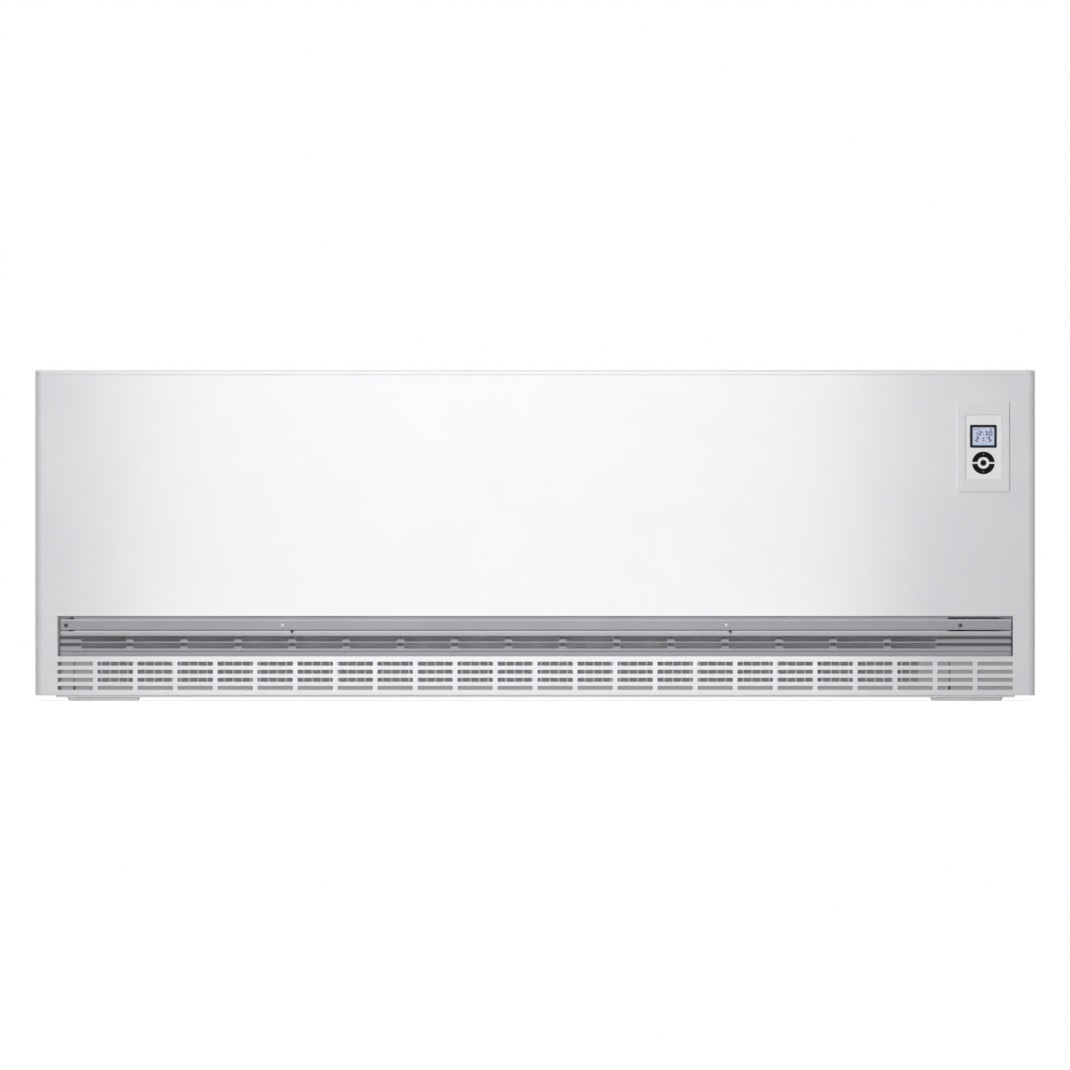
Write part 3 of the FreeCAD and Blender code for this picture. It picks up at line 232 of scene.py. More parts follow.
def edgeRub():
    # 1 along sharp edges, broken up by noise: where a coat is thin or a corner is handled
    sockets = {"Vector": "NodeSocketVector", "Radius": "NodeSocketFloat"}
    tree, given, result = openTree("edgeRub", "ShaderNodeTree", sockets, {"Mask": "NodeSocketFloat"})
    soft = addNode(tree, "ShaderNodeBevel", samples=4)
    plain = addNode(tree, "ShaderNodeNewGeometry")
    turn = addNode(tree, "ShaderNodeVectorMath", operation="DOT_PRODUCT")
    edge = spreadNode(tree, 0.98, 0.75)
    patches = noiseNode(tree, 4.0, 0.6)
    patches.inputs["Scale"].default_value = 60.0
    some = spreadNode(tree, 0.35, 0.65)
    both = mathNode(tree, "MULTIPLY")
    wire(
        tree,
        (given.outputs["Radius"], soft.inputs["Radius"]),
        (soft.outputs["Normal"], turn.inputs[0]),
        (plain.outputs["Normal"], turn.inputs[1]),
        (turn.outputs["Value"], edge.inputs["Value"]),
        (given.outputs["Vector"], patches.inputs["Vector"]),
        (patches.outputs["Fac"], some.inputs["Value"]),
        (edge.outputs["Result"], both.inputs[0]),
        (some.outputs["Result"], both.inputs[1]),
        (both.outputs[0], result.inputs["Mask"]),
    )
    return tree


def riseOf(tree):
    # how far a face looks up: 1 for a top, -1 for an underside
    plain = addNode(tree, "ShaderNodeNewGeometry")
    parts = addNode(tree, "ShaderNodeSeparateXYZ")
    wire(tree, (plain.outputs["Normal"], parts.inputs[0]))
    return parts.outputs["Z"]


def paintedTiltShade():
    # painted light and shade: faces that lean up get a paler colour, as if lit from above, and faces that
    # lean down get a darker one, as if in shade; faces that look almost straight up get less of the paler
    # colour
    results = {"Up": "NodeSocketFloat", "Down": "NodeSocketFloat"}
    tree, _, result = openTree("paintedTiltShade", "ShaderNodeTree", {}, results)
    rise = riseOf(tree)
    up, down = spreadNode(tree, 0.05, 0.4), spreadNode(tree, -0.2, -0.6)
    steep = spreadNode(tree, 0.85, 0.5)
    some = mathNode(tree, "MULTIPLY")
    wire(
        tree,
        (rise, up.inputs["Value"]),
        (rise, steep.inputs["Value"]),
        (rise, down.inputs["Value"]),
        (up.outputs["Result"], some.inputs[0]),
        (steep.outputs["Result"], some.inputs[1]),
        (some.outputs[0], result.inputs["Up"]),
        (down.outputs["Result"], result.inputs["Down"]),
    )
    return tree


def dustFilm():
    # 1 on faces that look up, in soft patches: where fine dust dulls a gloss coat
    sockets = {"Vector": "NodeSocketVector"}
    tree, given, result = openTree("dustFilm", "ShaderNodeTree", sockets, {"Mask": "NodeSocketFloat"})
    level = spreadNode(tree, 0.85, 0.98)
    patches = noiseNode(tree, 3.0, 0.5)
    patches.inputs["Scale"].default_value = 9.0
    some = spreadNode(tree, -0.4, 0.6)
    both = mathNode(tree, "MULTIPLY")
    wire(
        tree,
        (riseOf(tree), level.inputs["Value"]),
        (given.outputs["Vector"], patches.inputs["Vector"]),
        (patches.outputs["Fac"], some.inputs["Value"]),
        (level.outputs["Result"], both.inputs[0]),
        (some.outputs["Result"], both.inputs[1]),
        (both.outputs[0], result.inputs["Mask"]),
    )
    return tree


grains = {
    "powder": powderPeel(),
    "mould": mouldGrain(),
    "spangle": zincSpangle(),
    "streak": drawnStreak(),
    "grit": firedGrit(),
}
# the middle group paints light and shade into colours by the tilt of a face
rubbedEdge, paintedTiltLight, settledDust = edgeRub(), paintedTiltShade(), dustFilm()


def makeFinish(name, look):
    material = bpy.data.materials.new(name)
    material.use_nodes = True
    tree = material.node_tree
    shader = tree.nodes["Principled BSDF"]
    shader.inputs["Metallic"].default_value = look.get("metal", 0.0)
    shader.inputs["Specular IOR Level"].default_value = look.get("shine", 0.5)
    shader.inputs["Coat Weight"].default_value = look.get("coat", 0.0)
    shader.inputs["Coat Roughness"].default_value = 0.05
    where = addNode(tree, "ShaderNodeTexCoord")
    grain = addNode(tree, "ShaderNodeGroup", node_tree=grains[look["grain"]])
    grain.inputs["Scale"].default_value = look["scale"]
    tint = addNode(tree, "ShaderNodeMix", data_type="RGBA")
    tint.inputs[6].default_value = (*look["dark"], 1.0)
    tint.inputs[7].default_value = (*look["light"], 1.0)
    rough = addNode(tree, "ShaderNodeMapRange")
    rough.inputs["To Min"].default_value = look["rough"][0]
    rough.inputs["To Max"].default_value = look["rough"][1]
    bump = addNode(tree, "ShaderNodeBump")
    bump.inputs["Distance"].default_value = look["bump"] * mm
    wire(
        tree,
        (where.outputs["Object"], grain.inputs["Vector"]),
        (grain.outputs["Tone"], tint.inputs["Factor"]),
        (grain.outputs["Tone"], rough.inputs["Value"]),
        (grain.outputs["Height"], bump.inputs["Height"]),
        (rough.outputs["Result"], shader.inputs["Roughness"]),
        (bump.outputs["Normal"], shader.inputs["Normal"]),
    )
    if "dusty" in look:
        film = addNode(tree, "ShaderNodeGroup", node_tree=settledDust)
        dull = addNode(tree, "ShaderNodeMix")
        dull.inputs[3].default_value = look["dusty"]
        wire(
            tree,
            (where.outputs["Object"], film.inputs["Vector"]),
            (film.outputs["Mask"], dull.inputs["Factor"]),
            (rough.outputs["Result"], dull.inputs[2]),
            (dull.outputs[0], shader.inputs["Roughness"]),
        )
    colour = tint.outputs[2]
    # painted light and shade: the colour turns towards the look's upper tone on faces that lean up and
    # towards its under tone on faces that lean down
    if "upper" in look:
        lean = addNode(tree, "ShaderNodeGroup", node_tree=paintedTiltLight)
        for side, tone in (("Up", look["upper"]), ("Down", look["under"])):
            shade = addNode(tree, "ShaderNodeMix", data_type="RGBA")
            shade.inputs[7].default_value = (*tone, 1.0)
            wire(tree, (lean.outputs[side], shade.inputs["Factor"]), (colour, shade.inputs[6]))
            colour = shade.outputs[2]
    if "edge" in look:
        rub = addNode(tree, "ShaderNodeGroup", node_tree=rubbedEdge)
        rub.inputs["Radius"].default_value = look["edgeWidth"] * mm
        worn = addNode(tree, "ShaderNodeMix", data_type="RGBA")
        worn.inputs[7].default_value = (*look["edge"], 1.0)
        wire(
            tree,
            (where.outputs["Object"], rub.inputs["Vector"]),
            (rub.outputs["Mask"], worn.inputs["Factor"]),
            (colour, worn.inputs[6]),
        )
        colour = worn.outputs[2]
    wire(tree, (colour, shader.inputs["Base Color"]))
    return material


# one look for each material slot of the record: colours are linear, scale is per metre, bump in mm
looks = {
    "white_paint": {
        "grain": "powder", "scale": 900.0, "dark": (0.83, 0.84, 0.86), "light": (0.86, 0.865, 0.88),
        "rough": (0.145, 0.185), "bump": 0.02, "edge": (0.90, 0.905, 0.915), "edgeWidth": 0.8, "dusty": 0.55,
    },
    "galvanised": {
        "grain": "spangle", "scale": 260.0, "dark": (0.36, 0.365, 0.38), "light": (0.48, 0.485, 0.50),
        "rough": (0.4, 0.52), "metal": 0.55, "bump": 0.006, "edge": (0.46, 0.465, 0.48), "edgeWidth": 0.4,
    },
    "grille_paint": {
        "grain": "powder", "scale": 1400.0, "dark": (0.325, 0.32, 0.345), "light": (0.355, 0.35, 0.375),
        "rough": (0.38, 0.46), "metal": 0.05, "bump": 0.015, "edge": (0.42, 0.42, 0.44), "edgeWidth": 0.3,
        # painted highlight and painted shade: a pale tone for faces that lean up, a dark tone for faces that
        # lean down
        "upper": (0.66, 0.66, 0.69), "under": (0.16, 0.16, 0.17),
    },
    "zinc": {
        "grain": "streak", "scale": 2600.0, "dark": (0.38, 0.385, 0.40), "light": (0.48, 0.485, 0.50),
        "rough": (0.38, 0.5), "metal": 1.0, "bump": 0.004,
    },
    "black_zinc": {
        "grain": "streak", "scale": 2600.0, "dark": (0.04, 0.04, 0.045), "light": (0.08, 0.08, 0.086),
        "rough": (0.3, 0.42), "metal": 0.6, "bump": 0.004, "edge": (0.18, 0.18, 0.19), "edgeWidth": 0.15,
    },
    "filter_plastic": {
        "grain": "mould", "scale": 1800.0, "dark": (0.43, 0.43, 0.445), "light": (0.47, 0.47, 0.485),
        "rough": (0.5, 0.62), "bump": 0.03,
    },
    "filter_mesh": {
        "grain": "mould", "scale": 1500.0, "dark": (0.62, 0.62, 0.635), "light": (0.68, 0.68, 0.695),
        "rough": (0.55, 0.7), "bump": 0.03,
    },
    "rubber": {
        "grain": "mould", "scale": 1600.0, "dark": (0.012, 0.012, 0.013), "light": (0.03, 0.03, 0.031),
        "rough": (0.62, 0.8), "bump": 0.03,
    },
    "spacer_plastic": {
        "grain": "mould", "scale": 1600.0, "dark": (0.19, 0.195, 0.2), "light": (0.25, 0.255, 0.26),
        "rough": (0.45, 0.6), "bump": 0.03,
    },
    "insulation": {
        "grain": "grit", "scale": 320.0, "dark": (0.52, 0.47, 0.38), "light": (0.74, 0.69, 0.59),
        "rough": (0.85, 0.97), "bump": 0.3,
    },
    "brick": {
        "grain": "grit", "scale": 260.0, "dark": (0.06, 0.038, 0.028), "light": (0.16, 0.095, 0.066),
        "rough": (0.8, 0.95), "bump": 0.35, "edge": (0.24, 0.16, 0.12), "edgeWidth": 1.5,
    },
    "element_steel": {
        "grain": "streak", "scale": 900.0, "dark": (0.10, 0.085, 0.08), "light": (0.26, 0.22, 0.20),
        "rough": (0.36, 0.55), "metal": 0.9, "bump": 0.01,
    },
    "ceramic": {
        "grain": "grit", "scale": 1200.0, "dark": (0.70, 0.66, 0.58), "light": (0.82, 0.79, 0.71),
        "rough": (0.55, 0.75), "bump": 0.04,
    },
    "brass": {
        "grain": "streak", "scale": 2200.0, "dark": (0.10, 0.07, 0.03), "light": (0.22, 0.15, 0.07),
        "rough": (0.26, 0.4), "metal": 1.0, "bump": 0.006,
    },
    "copper": {
        "grain": "streak", "scale": 2000.0, "dark": (0.42, 0.16, 0.08), "light": (0.66, 0.30, 0.18),
        "rough": (0.28, 0.44), "metal": 1.0, "bump": 0.006,
    },
    "switch_plastic": {
        "grain": "mould", "scale": 1700.0, "dark": (0.014, 0.014, 0.016), "light": (0.028, 0.028, 0.03),
        "rough": (0.42, 0.58), "bump": 0.03,
    },
    "terminal_plastic": {
        "grain": "mould", "scale": 1700.0, "dark": (0.48, 0.46, 0.40), "light": (0.56, 0.54, 0.48),
        "rough": (0.42, 0.58), "bump": 0.03,
    },
    "motor_steel": {
        "grain": "powder", "scale": 1100.0, "dark": (0.018, 0.02, 0.022), "light": (0.032, 0.034, 0.037),
        "rough": (0.36, 0.48), "metal": 0.4, "bump": 0.02, "edge": (0.16, 0.16, 0.17), "edgeWidth": 0.5,
    },
    "impeller_metal": {
        "grain": "streak", "scale": 1200.0, "dark": (0.50, 0.51, 0.52), "light": (0.72, 0.73, 0.74),
        "rough": (0.28, 0.42), "metal": 1.0, "bump": 0.006,
    },
    "bronze": {
        "grain": "grit", "scale": 3200.0, "dark": (0.26, 0.15, 0.06), "light": (0.44, 0.28, 0.13),
        "rough": (0.4, 0.55), "metal": 0.9, "bump": 0.02,
    },
    "control_plastic": {
        "grain": "mould", "scale": 2400.0, "dark": (0.80, 0.81, 0.825), "light": (0.835, 0.845, 0.855),
        "rough": (0.38, 0.48), "bump": 0.02,
    },
    "lens": {
        "grain": "mould", "scale": 700.0, "dark": (0.006, 0.008, 0.016), "light": (0.01, 0.013, 0.024),
        "rough": (0.12, 0.18), "bump": 0.002, "shine": 0.18,
    },
    "key_plastic": {
        "grain": "mould", "scale": 1600.0, "dark": (0.004, 0.004, 0.005), "light": (0.008, 0.008, 0.009),
        "rough": (0.24, 0.34), "bump": 0.006, "shine": 0.04,
    },
    "key_rubber": {
        "grain": "mould", "scale": 1800.0, "dark": (0.15, 0.155, 0.165), "light": (0.19, 0.195, 0.205),
        "rough": (0.55, 0.7), "bump": 0.02,
    },
    "board": {
        "grain": "mould", "scale": 900.0, "dark": (0.012, 0.055, 0.024), "light": (0.02, 0.085, 0.036),
        "rough": (0.28, 0.42), "bump": 0.008, "coat": 0.4,
    },
}
finishes = {slot: makeFinish(slot, look) for slot, look in looks.items()}
print("finishes made:", len(finishes))


def lcdFinish():
    # pale blue display with its pixel grid, lit from behind
    look = {"pixels": 2200.0, "dark": (0.36, 0.42, 0.58), "light": (0.50, 0.57, 0.73), "glow": 0.2}
    material = bpy.data.materials.new("lcdFace")
    material.use_nodes = True
    tree = material.node_tree
    shader = tree.nodes["Principled BSDF"]
    shader.inputs["Roughness"].default_value = 0.35
    shader.inputs["Coat Weight"].default_value = 1.0
    shader.inputs["Coat Roughness"].default_value = 0.04
    shader.inputs["Emission Strength"].default_value = look["glow"]
    where = addNode(tree, "ShaderNodeTexCoord")
    flat = addNode(tree, "ShaderNodeMapping")
    flat.inputs["Rotation"].default_value = (math.pi / 2, 0.0, 0.0)
    grid = addNode(tree, "ShaderNodeTexBrick", offset=0.0)
    grid.inputs["Scale"].default_value = look["pixels"]
    grid.inputs["Color1"].default_value = (1.0, 1.0, 1.0, 1.0)
    grid.inputs["Color2"].default_value = (0.92, 0.92, 0.92, 1.0)
    grid.inputs["Mortar"].default_value = (0.0, 0.0, 0.0, 1.0)
    grid.inputs["Mortar Size"].default_value = 0.06
    grid.inputs["Brick Width"].default_value = 1.0
    grid.inputs["Row Height"].default_value = 1.0
    tint = addNode(tree, "ShaderNodeMix", data_type="RGBA")
    tint.inputs[6].default_value = (*look["dark"], 1.0)
    tint.inputs[7].default_value = (*look["light"], 1.0)
    wire(
        tree,
        (where.outputs["Object"], flat.inputs["Vector"]),
        (flat.outputs["Vector"], grid.inputs["Vector"]),
        (grid.outputs["Color"], tint.inputs["Factor"]),
        (tint.outputs[2], shader.inputs["Base Color"]),
        (tint.outputs[2], shader.inputs["Emission Color"]),
    )
    return material


finishes["lcd"] = lcdFinish()
inkFinish = makeFinish(
    "lcdInk",
    {
        "grain": "mould", "scale": 2000.0, "dark": (0.045, 0.05, 0.13), "light": (0.065, 0.07, 0.16),
        "rough": (0.4, 0.5), "bump": 0.002,
    },
)
iconFinish = makeFinish(
    "iconPrint",
    {
        "grain": "mould", "scale": 2000.0, "dark": (0.20, 0.205, 0.21), "light": (0.25, 0.255, 0.26),
        "rough": (0.4, 0.5), "bump": 0.002,
    },
)
ductShadeFinish = makeFinish(  # painted shade: darker zinc for the sheets behind the grille, standing in for the shade inside the casing
    "ductPaintedShade",
    {
        "grain": "spangle", "scale": 240.0, "dark": (0.32, 0.31, 0.335), "light": (0.40, 0.39, 0.415),
        "rough": (0.42, 0.55), "metal": 0.7, "bump": 0.006,
    },
)
gauzeFinish = makeFinish(
    "gauzeThread",
    {
        "grain": "mould", "scale": 1500.0, "dark": (0.43, 0.43, 0.445), "light": (0.50, 0.50, 0.515),
        "rough": (0.6, 0.75), "bump": 0.01,
    },
)
baseFinish = makeFinish(  # base plate: zinc sheet under a thin pale coat
    "baseSheet",
    {
        "grain": "powder", "scale": 800.0, "dark": (0.86, 0.865, 0.88), "light": (0.90, 0.905, 0.92),
        "rough": (0.4, 0.5), "bump": 0.01, "edge": (0.91, 0.915, 0.925), "edgeWidth": 0.4,
    },
)
fasciaFinish = makeFinish(
    "fasciaPlastic",
    {
        "grain": "mould", "scale": 2400.0, "dark": (0.89, 0.895, 0.90), "light": (0.92, 0.925, 0.93),
        "rough": (0.32, 0.42), "bump": 0.015,
    },
)
special = {  # nodes whose finish differs from that of their slot
    # painted shade: the duct divider, mixing flap and grille rail take the darker zinc
    "duct_divider": ductShadeFinish, "mixing_flap": ductShadeFinish, "grille_rail": ductShadeFinish,
    "base_plate": baseFinish, "control_fascia": fasciaFinish,
}
for name, node in nodes.items():
    node.material_slots[0].material = special.get(name, finishes[slotOf[name]])
print("CAD nodes dressed")


def newPiece(name, mesh, material):
    piece = bpy.data.objects.new(name, mesh)
    bpy.context.scene.collection.objects.link(piece)
    if material:
        mesh.materials.clear()
        mesh.materials.append(material)
    return piece


def settle(piece, body, slot, *replaced):
    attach(piece, body)
    if replaced:
        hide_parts(*replaced)


def meshFrom(name, shape):
    mesh = bpy.data.meshes.new(name)
    bmesh.ops.recalc_face_normals(shape, faces=shape.faces)
    shape.to_mesh(mesh)
    shape.free()
    return mesh


def islandBoxes(name):
    # lowest and highest corner of each separate solid in a CAD node
    shape = bmesh.new()
    shape.from_mesh(nodes[name].data)
    bmesh.ops.remove_doubles(shape, verts=shape.verts, dist=1e-6)
    left, boxes = set(shape.verts), []
    while left:
        group, waiting = set(), [left.pop()]
        while waiting:
            vert = waiting.pop()
            group.add(vert)
            for edge in vert.link_edges:
                other = edge.other_vert(vert)
                if other in left:
                    left.remove(other)
                    waiting.append(other)
        low = Vector([min(vert.co[i] for vert in group) for i in range(3)])
        high = Vector([max(vert.co[i] for vert in group) for i in range(3)])
        boxes.append((low, high))
    shape.free()
    return sorted(boxes, key=lambda pair: tuple(round(value, 5) for value in pair[0]))


def roundOff(points, radius, steps):
    # rounds the inner corners of an open line of points
    line = [points[0]]
    for before, corner, after in zip(points, points[1:], points[2:]):
        a, b, c = Vector(before), Vector(corner), Vector(after)
        toA, toC = (a - b).normalized(), (c - b).normalized()
        half = toA.angle(toC) / 2
        reach = min(radius / math.tan(half), (a - b).length * 0.48, (c - b).length * 0.48)
        centre = b + (toA + toC).normalized() * reach / math.cos(half)
        start, end = b + toA * reach - centre, b + toC * reach - centre
        for i in range(steps + 1):
            line.append(centre + start.slerp(end, i / steps) * start.length)
    line.append(points[-1])
    return [Vector(point) for point in line]


def lathe(profile, segments, closed):
    # turns a line of (radius, height) about Z; a point on the axis becomes a pole
    shape = bmesh.new()
    rings = []
    for radius, height in profile:
        if radius < 1e-9:
            rings.append([shape.verts.new((0, 0, height))])
            continue
        turns = [2 * math.pi * i / segments for i in range(segments)]
        rings.append([shape.verts.new((radius * math.cos(t), radius * math.sin(t), height)) for t in turns])
    pairs = list(zip(rings, rings[1:])) + ([(rings[-1], rings[0])] if closed else [])
    for a, b in pairs:
        for i in range(segments):
            k = (i + 1) % segments
            corners = [a[i % len(a)], a[k % len(a)], b[k % len(b)], b[i % len(b)]]
            corners = list(dict.fromkeys(corners))
            if len(corners) > 2:
                shape.faces.new(corners)
    return shape


meshResult = {"Geometry": "NodeSocketGeometry"}


def patternTree():
    # copies of one pattern on points, each turned by chance about its own axis
    sockets = {
        "Geometry": "NodeSocketGeometry",
        "Pattern": "NodeSocketObject",
        "Facing": "NodeSocketVector",
        "Turn": "NodeSocketFloat",
        "Seed": "NodeSocketInt",
        "Finish": "NodeSocketMaterial",
    }
    tree, given, result = openTree("patternSet", "GeometryNodeTree", sockets, meshResult)
    pattern = addNode(tree, "GeometryNodeObjectInfo")
    chance = addNode(tree, "FunctionNodeRandomValue", data_type="FLOAT")
    spin = addNode(tree, "ShaderNodeCombineXYZ")
    spinTurn = addNode(tree, "FunctionNodeEulerToRotation")
    facing = addNode(tree, "FunctionNodeEulerToRotation")
    placed = addNode(tree, "GeometryNodeInstanceOnPoints")
    turned = addNode(tree, "GeometryNodeRotateInstances")
    real = addNode(tree, "GeometryNodeRealizeInstances")
    paint = addNode(tree, "GeometryNodeSetMaterial")
    wire(
        tree,
        (given.outputs["Pattern"], pattern.inputs["Object"]),
        (given.outputs["Turn"], chance.inputs[3]),
        (given.outputs["Seed"], chance.inputs["Seed"]),
        (chance.outputs[1], spin.inputs["Z"]),
        (spin.outputs[0], spinTurn.inputs[0]),
        (given.outputs["Facing"], facing.inputs[0]),
        (given.outputs["Geometry"], placed.inputs["Points"]),
        (pattern.outputs["Geometry"], placed.inputs["Instance"]),
        (facing.outputs[0], placed.inputs["Rotation"]),
        (placed.outputs[0], turned.inputs["Instances"]),
        (spinTurn.outputs[0], turned.inputs["Rotation"]),
        (turned.outputs[0], real.inputs[0]),
        (real.outputs[0], paint.inputs["Geometry"]),
        (given.outputs["Finish"], paint.inputs["Material"]),
        (paint.outputs[0], result.inputs["Geometry"]),
    )
    return tree


def gauzeTree():
    # two crossed layers of thin wires over a window
    sockets = {
        "Geometry": "NodeSocketGeometry",
        "Centre": "NodeSocketVector",
        "Width": "NodeSocketFloat",
        "Height": "NodeSocketFloat",
        "Pitch": "NodeSocketFloat",
        "Wire": "NodeSocketFloat",
        "Finish": "NodeSocketMaterial",
    }
    tree, given, result = openTree("gauze", "GeometryNodeTree", sockets, meshResult)
    joined = addNode(tree, "GeometryNodeJoinGeometry")
    for span, other, axis, across in (("Width", "Height", "X", "Z"), ("Height", "Width", "Z", "X")):
        count = mathNode(tree, "DIVIDE")
        start = mathNode(tree, "MULTIPLY", -0.5)
        layer = mathNode(tree, "MULTIPLY", 0.5 if axis == "X" else -0.5)
        begin = addNode(tree, "ShaderNodeCombineXYZ")
        step = addNode(tree, "ShaderNodeCombineXYZ")
        size = addNode(tree, "ShaderNodeCombineXYZ")
        line = addNode(tree, "GeometryNodeMeshLine")
        rod = addNode(tree, "GeometryNodeMeshCube")
        placed = addNode(tree, "GeometryNodeInstanceOnPoints")
        wire(
            tree,
            (given.outputs[span], count.inputs[0]),
            (given.outputs["Pitch"], count.inputs[1]),
            (given.outputs[span], start.inputs[0]),
            (given.outputs["Wire"], layer.inputs[0]),
            (start.outputs[0], begin.inputs[axis]),
            (layer.outputs[0], begin.inputs["Y"]),
            (given.outputs["Pitch"], step.inputs[axis]),
            (given.outputs["Wire"], size.inputs[axis]),
            (given.outputs["Wire"], size.inputs["Y"]),
            (given.outputs[other], size.inputs[across]),
            (count.outputs[0], line.inputs["Count"]),
            (begin.outputs[0], line.inputs["Start Location"]),
            (step.outputs[0], line.inputs["Offset"]),
            (size.outputs[0], rod.inputs["Size"]),
            (line.outputs[0], placed.inputs["Points"]),
            (rod.outputs[0], placed.inputs["Instance"]),
            (placed.outputs[0], joined.inputs[0]),
        )
    real = addNode(tree, "GeometryNodeRealizeInstances")
    moved = addNode(tree, "GeometryNodeTransform")
    paint = addNode(tree, "GeometryNodeSetMaterial")
    wire(
        tree,
        (joined.outputs[0], real.inputs[0]),
        (real.outputs[0], moved.inputs["Geometry"]),
        (given.outputs["Centre"], moved.inputs["Translation"]),
        (moved.outputs[0], paint.inputs["Geometry"]),
        (given.outputs["Finish"], paint.inputs["Material"]),
        (paint.outputs[0], result.inputs["Geometry"]),
    )
    return tree


def bakeTree(name, tree, points, values):
    # runs a tree on a few points and keeps its result as a plain mesh
    base = bpy.data.meshes.new(name)
    base.from_pydata(points, [], [])
    piece = newPiece(name, base, None)
    modifier = piece.modifiers.new(name, "NODES")
    modifier.node_group = tree
    for socket in tree.interface.items_tree:
        if socket.in_out == "INPUT" and socket.name in values:
            modifier[socket.identifier] = values[socket.name]
    graph = bpy.context.evaluated_depsgraph_get()
    made = bpy.data.meshes.new_from_object(piece.evaluated_get(graph))
    piece.modifiers.remove(modifier)
    piece.data = made
    made.name = name
    return piece


patternSet, gauze = patternTree(), gauzeTree()
facings = {  # turns a pattern's +Z to the way it faces
    "front": (math.pi / 2, 0.0, 0.0),
    "rear": (-math.pi / 2, 0.0, 0.0),
    "floor": (math.pi, 0.0, 0.0),
}


screwForm = {  # shares of the sizes below: head's rim and seat, thread's root, tip, and the driver's cross
    "rim": 0.45, "domeSteps": 8, "seat": 0.97, "root": 0.8, "tip": 0.5, "crossTaper": 0.35, "crossOver": 1.3,
}


def crossCutter(size):
    # tapered cross, as a driver leaves it, in mm
    top, bottom = size["headHeight"] * screwForm["crossOver"], size["headHeight"] - size["crossDepth"]
    shape = bmesh.new()
    for turn in (0, math.pi / 2):
        made = bmesh.ops.create_cube(shape, size=1.0)["verts"]
        for vert in made:
            upper = vert.co.z > 0
            vert.co.x *= size["crossLength"] * (1.0 if upper else screwForm["crossTaper"])
            vert.co.y *= size["crossWidth"]
            vert.co.z = top if upper else bottom
        bmesh.ops.rotate(shape, verts=made, cent=(0, 0, 0), matrix=Matrix.Rotation(turn, 3, "Z"))
    return meshFrom("crossCutter", shape)


def screwPattern(size):
    # domed head with a cross recess over a threaded shank; the head's seat is at the origin
    radius, height, shank = size["headRadius"], size["headHeight"], size["shankRadius"]
    rim, steps, pitch = screwForm["rim"], screwForm["domeSteps"], size["threadPitch"]
    profile = []
    for i in range(steps + 1):
        turn = math.pi / 2 * i / steps
        profile.append((radius * math.sin(turn), height * (rim + (1.0 - rim) * math.cos(turn))))
    profile += [(radius * screwForm["seat"], 0.0), (shank, 0.0)]
    for i in range(int(size["shankLength"] / pitch)):
        profile.append((shank * screwForm["root"], -(i + 0.5) * pitch))
        profile.append((shank, -(i + 1.0) * pitch))
    end = -size["shankLength"] - pitch / 2
    profile += [(shank * screwForm["tip"], end), (0.0, end)]
    body = newPiece("screwPattern", meshFrom("screwPattern", lathe(profile, 28, False)), None)
    cutter = newPiece("screwCutter", crossCutter(size), None)
    cut = body.modifiers.new("cross", "BOOLEAN")
    cut.object, cut.operation, cut.solver, cut.use_self = cutter, "DIFFERENCE", "EXACT", True
    graph = bpy.context.evaluated_depsgraph_get()
    made = bpy.data.meshes.new_from_object(body.evaluated_get(graph))
    body.modifiers.remove(cut)
    bpy.data.objects.remove(cutter)
    made.transform(Matrix.Scale(mm, 4))
    for face in made.polygons:
        face.use_smooth = True
    made.set_sharp_from_angle(angle=math.radians(40))
    body.data = made
    return body


casingScrew = {  # mm
    "headRadius": 3.2, "headHeight": 1.8, "shankRadius": 1.8, "shankLength": 3.5, "threadPitch": 0.7,
    "crossLength": 3.6, "crossWidth": 0.75, "crossDepth": 1.2,
}
grilleScrew = {  # mm
    "headRadius": 3.0, "headHeight": 1.6, "shankRadius": 1.7, "shankLength": 3.6, "threadPitch": 0.7,
    "crossLength": 3.4, "crossWidth": 0.7, "crossDepth": 1.1,
}
screwSets = [
    ("grille_screws", "grilleScrews", grilleScrew, "front", 3),
    ("grille_end_screws", "grilleEndScrews", grilleScrew, "front", 5),
    ("rear_panel_screws", "rearPanelScrews", casingScrew, "rear", 7),
    ("casing_screws", "casingScrews", casingScrew, "floor", 11),
]


def seatOf(box, size, facing):
    # where the head of a CAD screw sits
    low, high = box
    seat = (low + high) / 2
    if facing == "front":
        seat.y = low.y + size["headHeight"] * mm
    elif facing == "rear":
        seat.y = high.y - size["headHeight"] * mm
    else:
        seat.z = low.z + size["headHeight"] * mm
    return seat


def setPattern(name, node, pattern, seats, facing, turn, seed):
    # one copy of a pattern on each seat, in place of a CAD node
    values = {
        "Pattern": pattern,
        "Facing": facings[facing],
        "Turn": turn,
        "Seed": seed,
        "Finish": finishes[slotOf[node]],
    }
    piece = bakeTree(name, patternSet, seats, values)
    bpy.data.objects.remove(pattern)
    settle(piece, "casing", slotOf[node], node)
    print(name + ":", len(seats), "set,", len(piece.data.polygons), "faces")


for node, name, size, facing, seed in screwSets:
    pattern = screwPattern(size)
    seats = [seatOf(box, size, facing) for box in islandBoxes(node)]
    setPattern(name, node, pattern, seats, facing, math.pi / 2, seed)


washer = {"radius": 13.0, "bore": 4.5, "thickness": 3.0, "round": 0.8}  # mm
grommet = {"flange": 13.0, "neck": 8.95, "bore": 5.5, "lip": 2.5, "sheet": 1.0, "round": 1.0}  # mm


def turnedPattern(name, profile, corner, segments=48, steps=4):
    # a closed profile with each corner rounded, turned about Z
    closed = [profile[-1], *profile, profile[0], profile[1]]
    line = roundOff([(r * mm, h * mm) for r, h in closed], corner * mm, steps)[1:-1]
    shape = lathe(line[: (steps + 1) * len(profile)], segments, True)
    for face in shape.faces:
        face.smooth = True
    piece = newPiece(name, meshFrom(name, shape), None)
    piece.data.set_sharp_from_angle(angle=math.radians(50))
    return piece


def turnedSet(name, node, pattern):
    seats = []
    for low, high in islandBoxes(node):
        middle = (low + high) / 2
        seats.append((middle.x, low.y, middle.z))
    setPattern(name, node, pattern, seats, "rear", 0.0, 1)


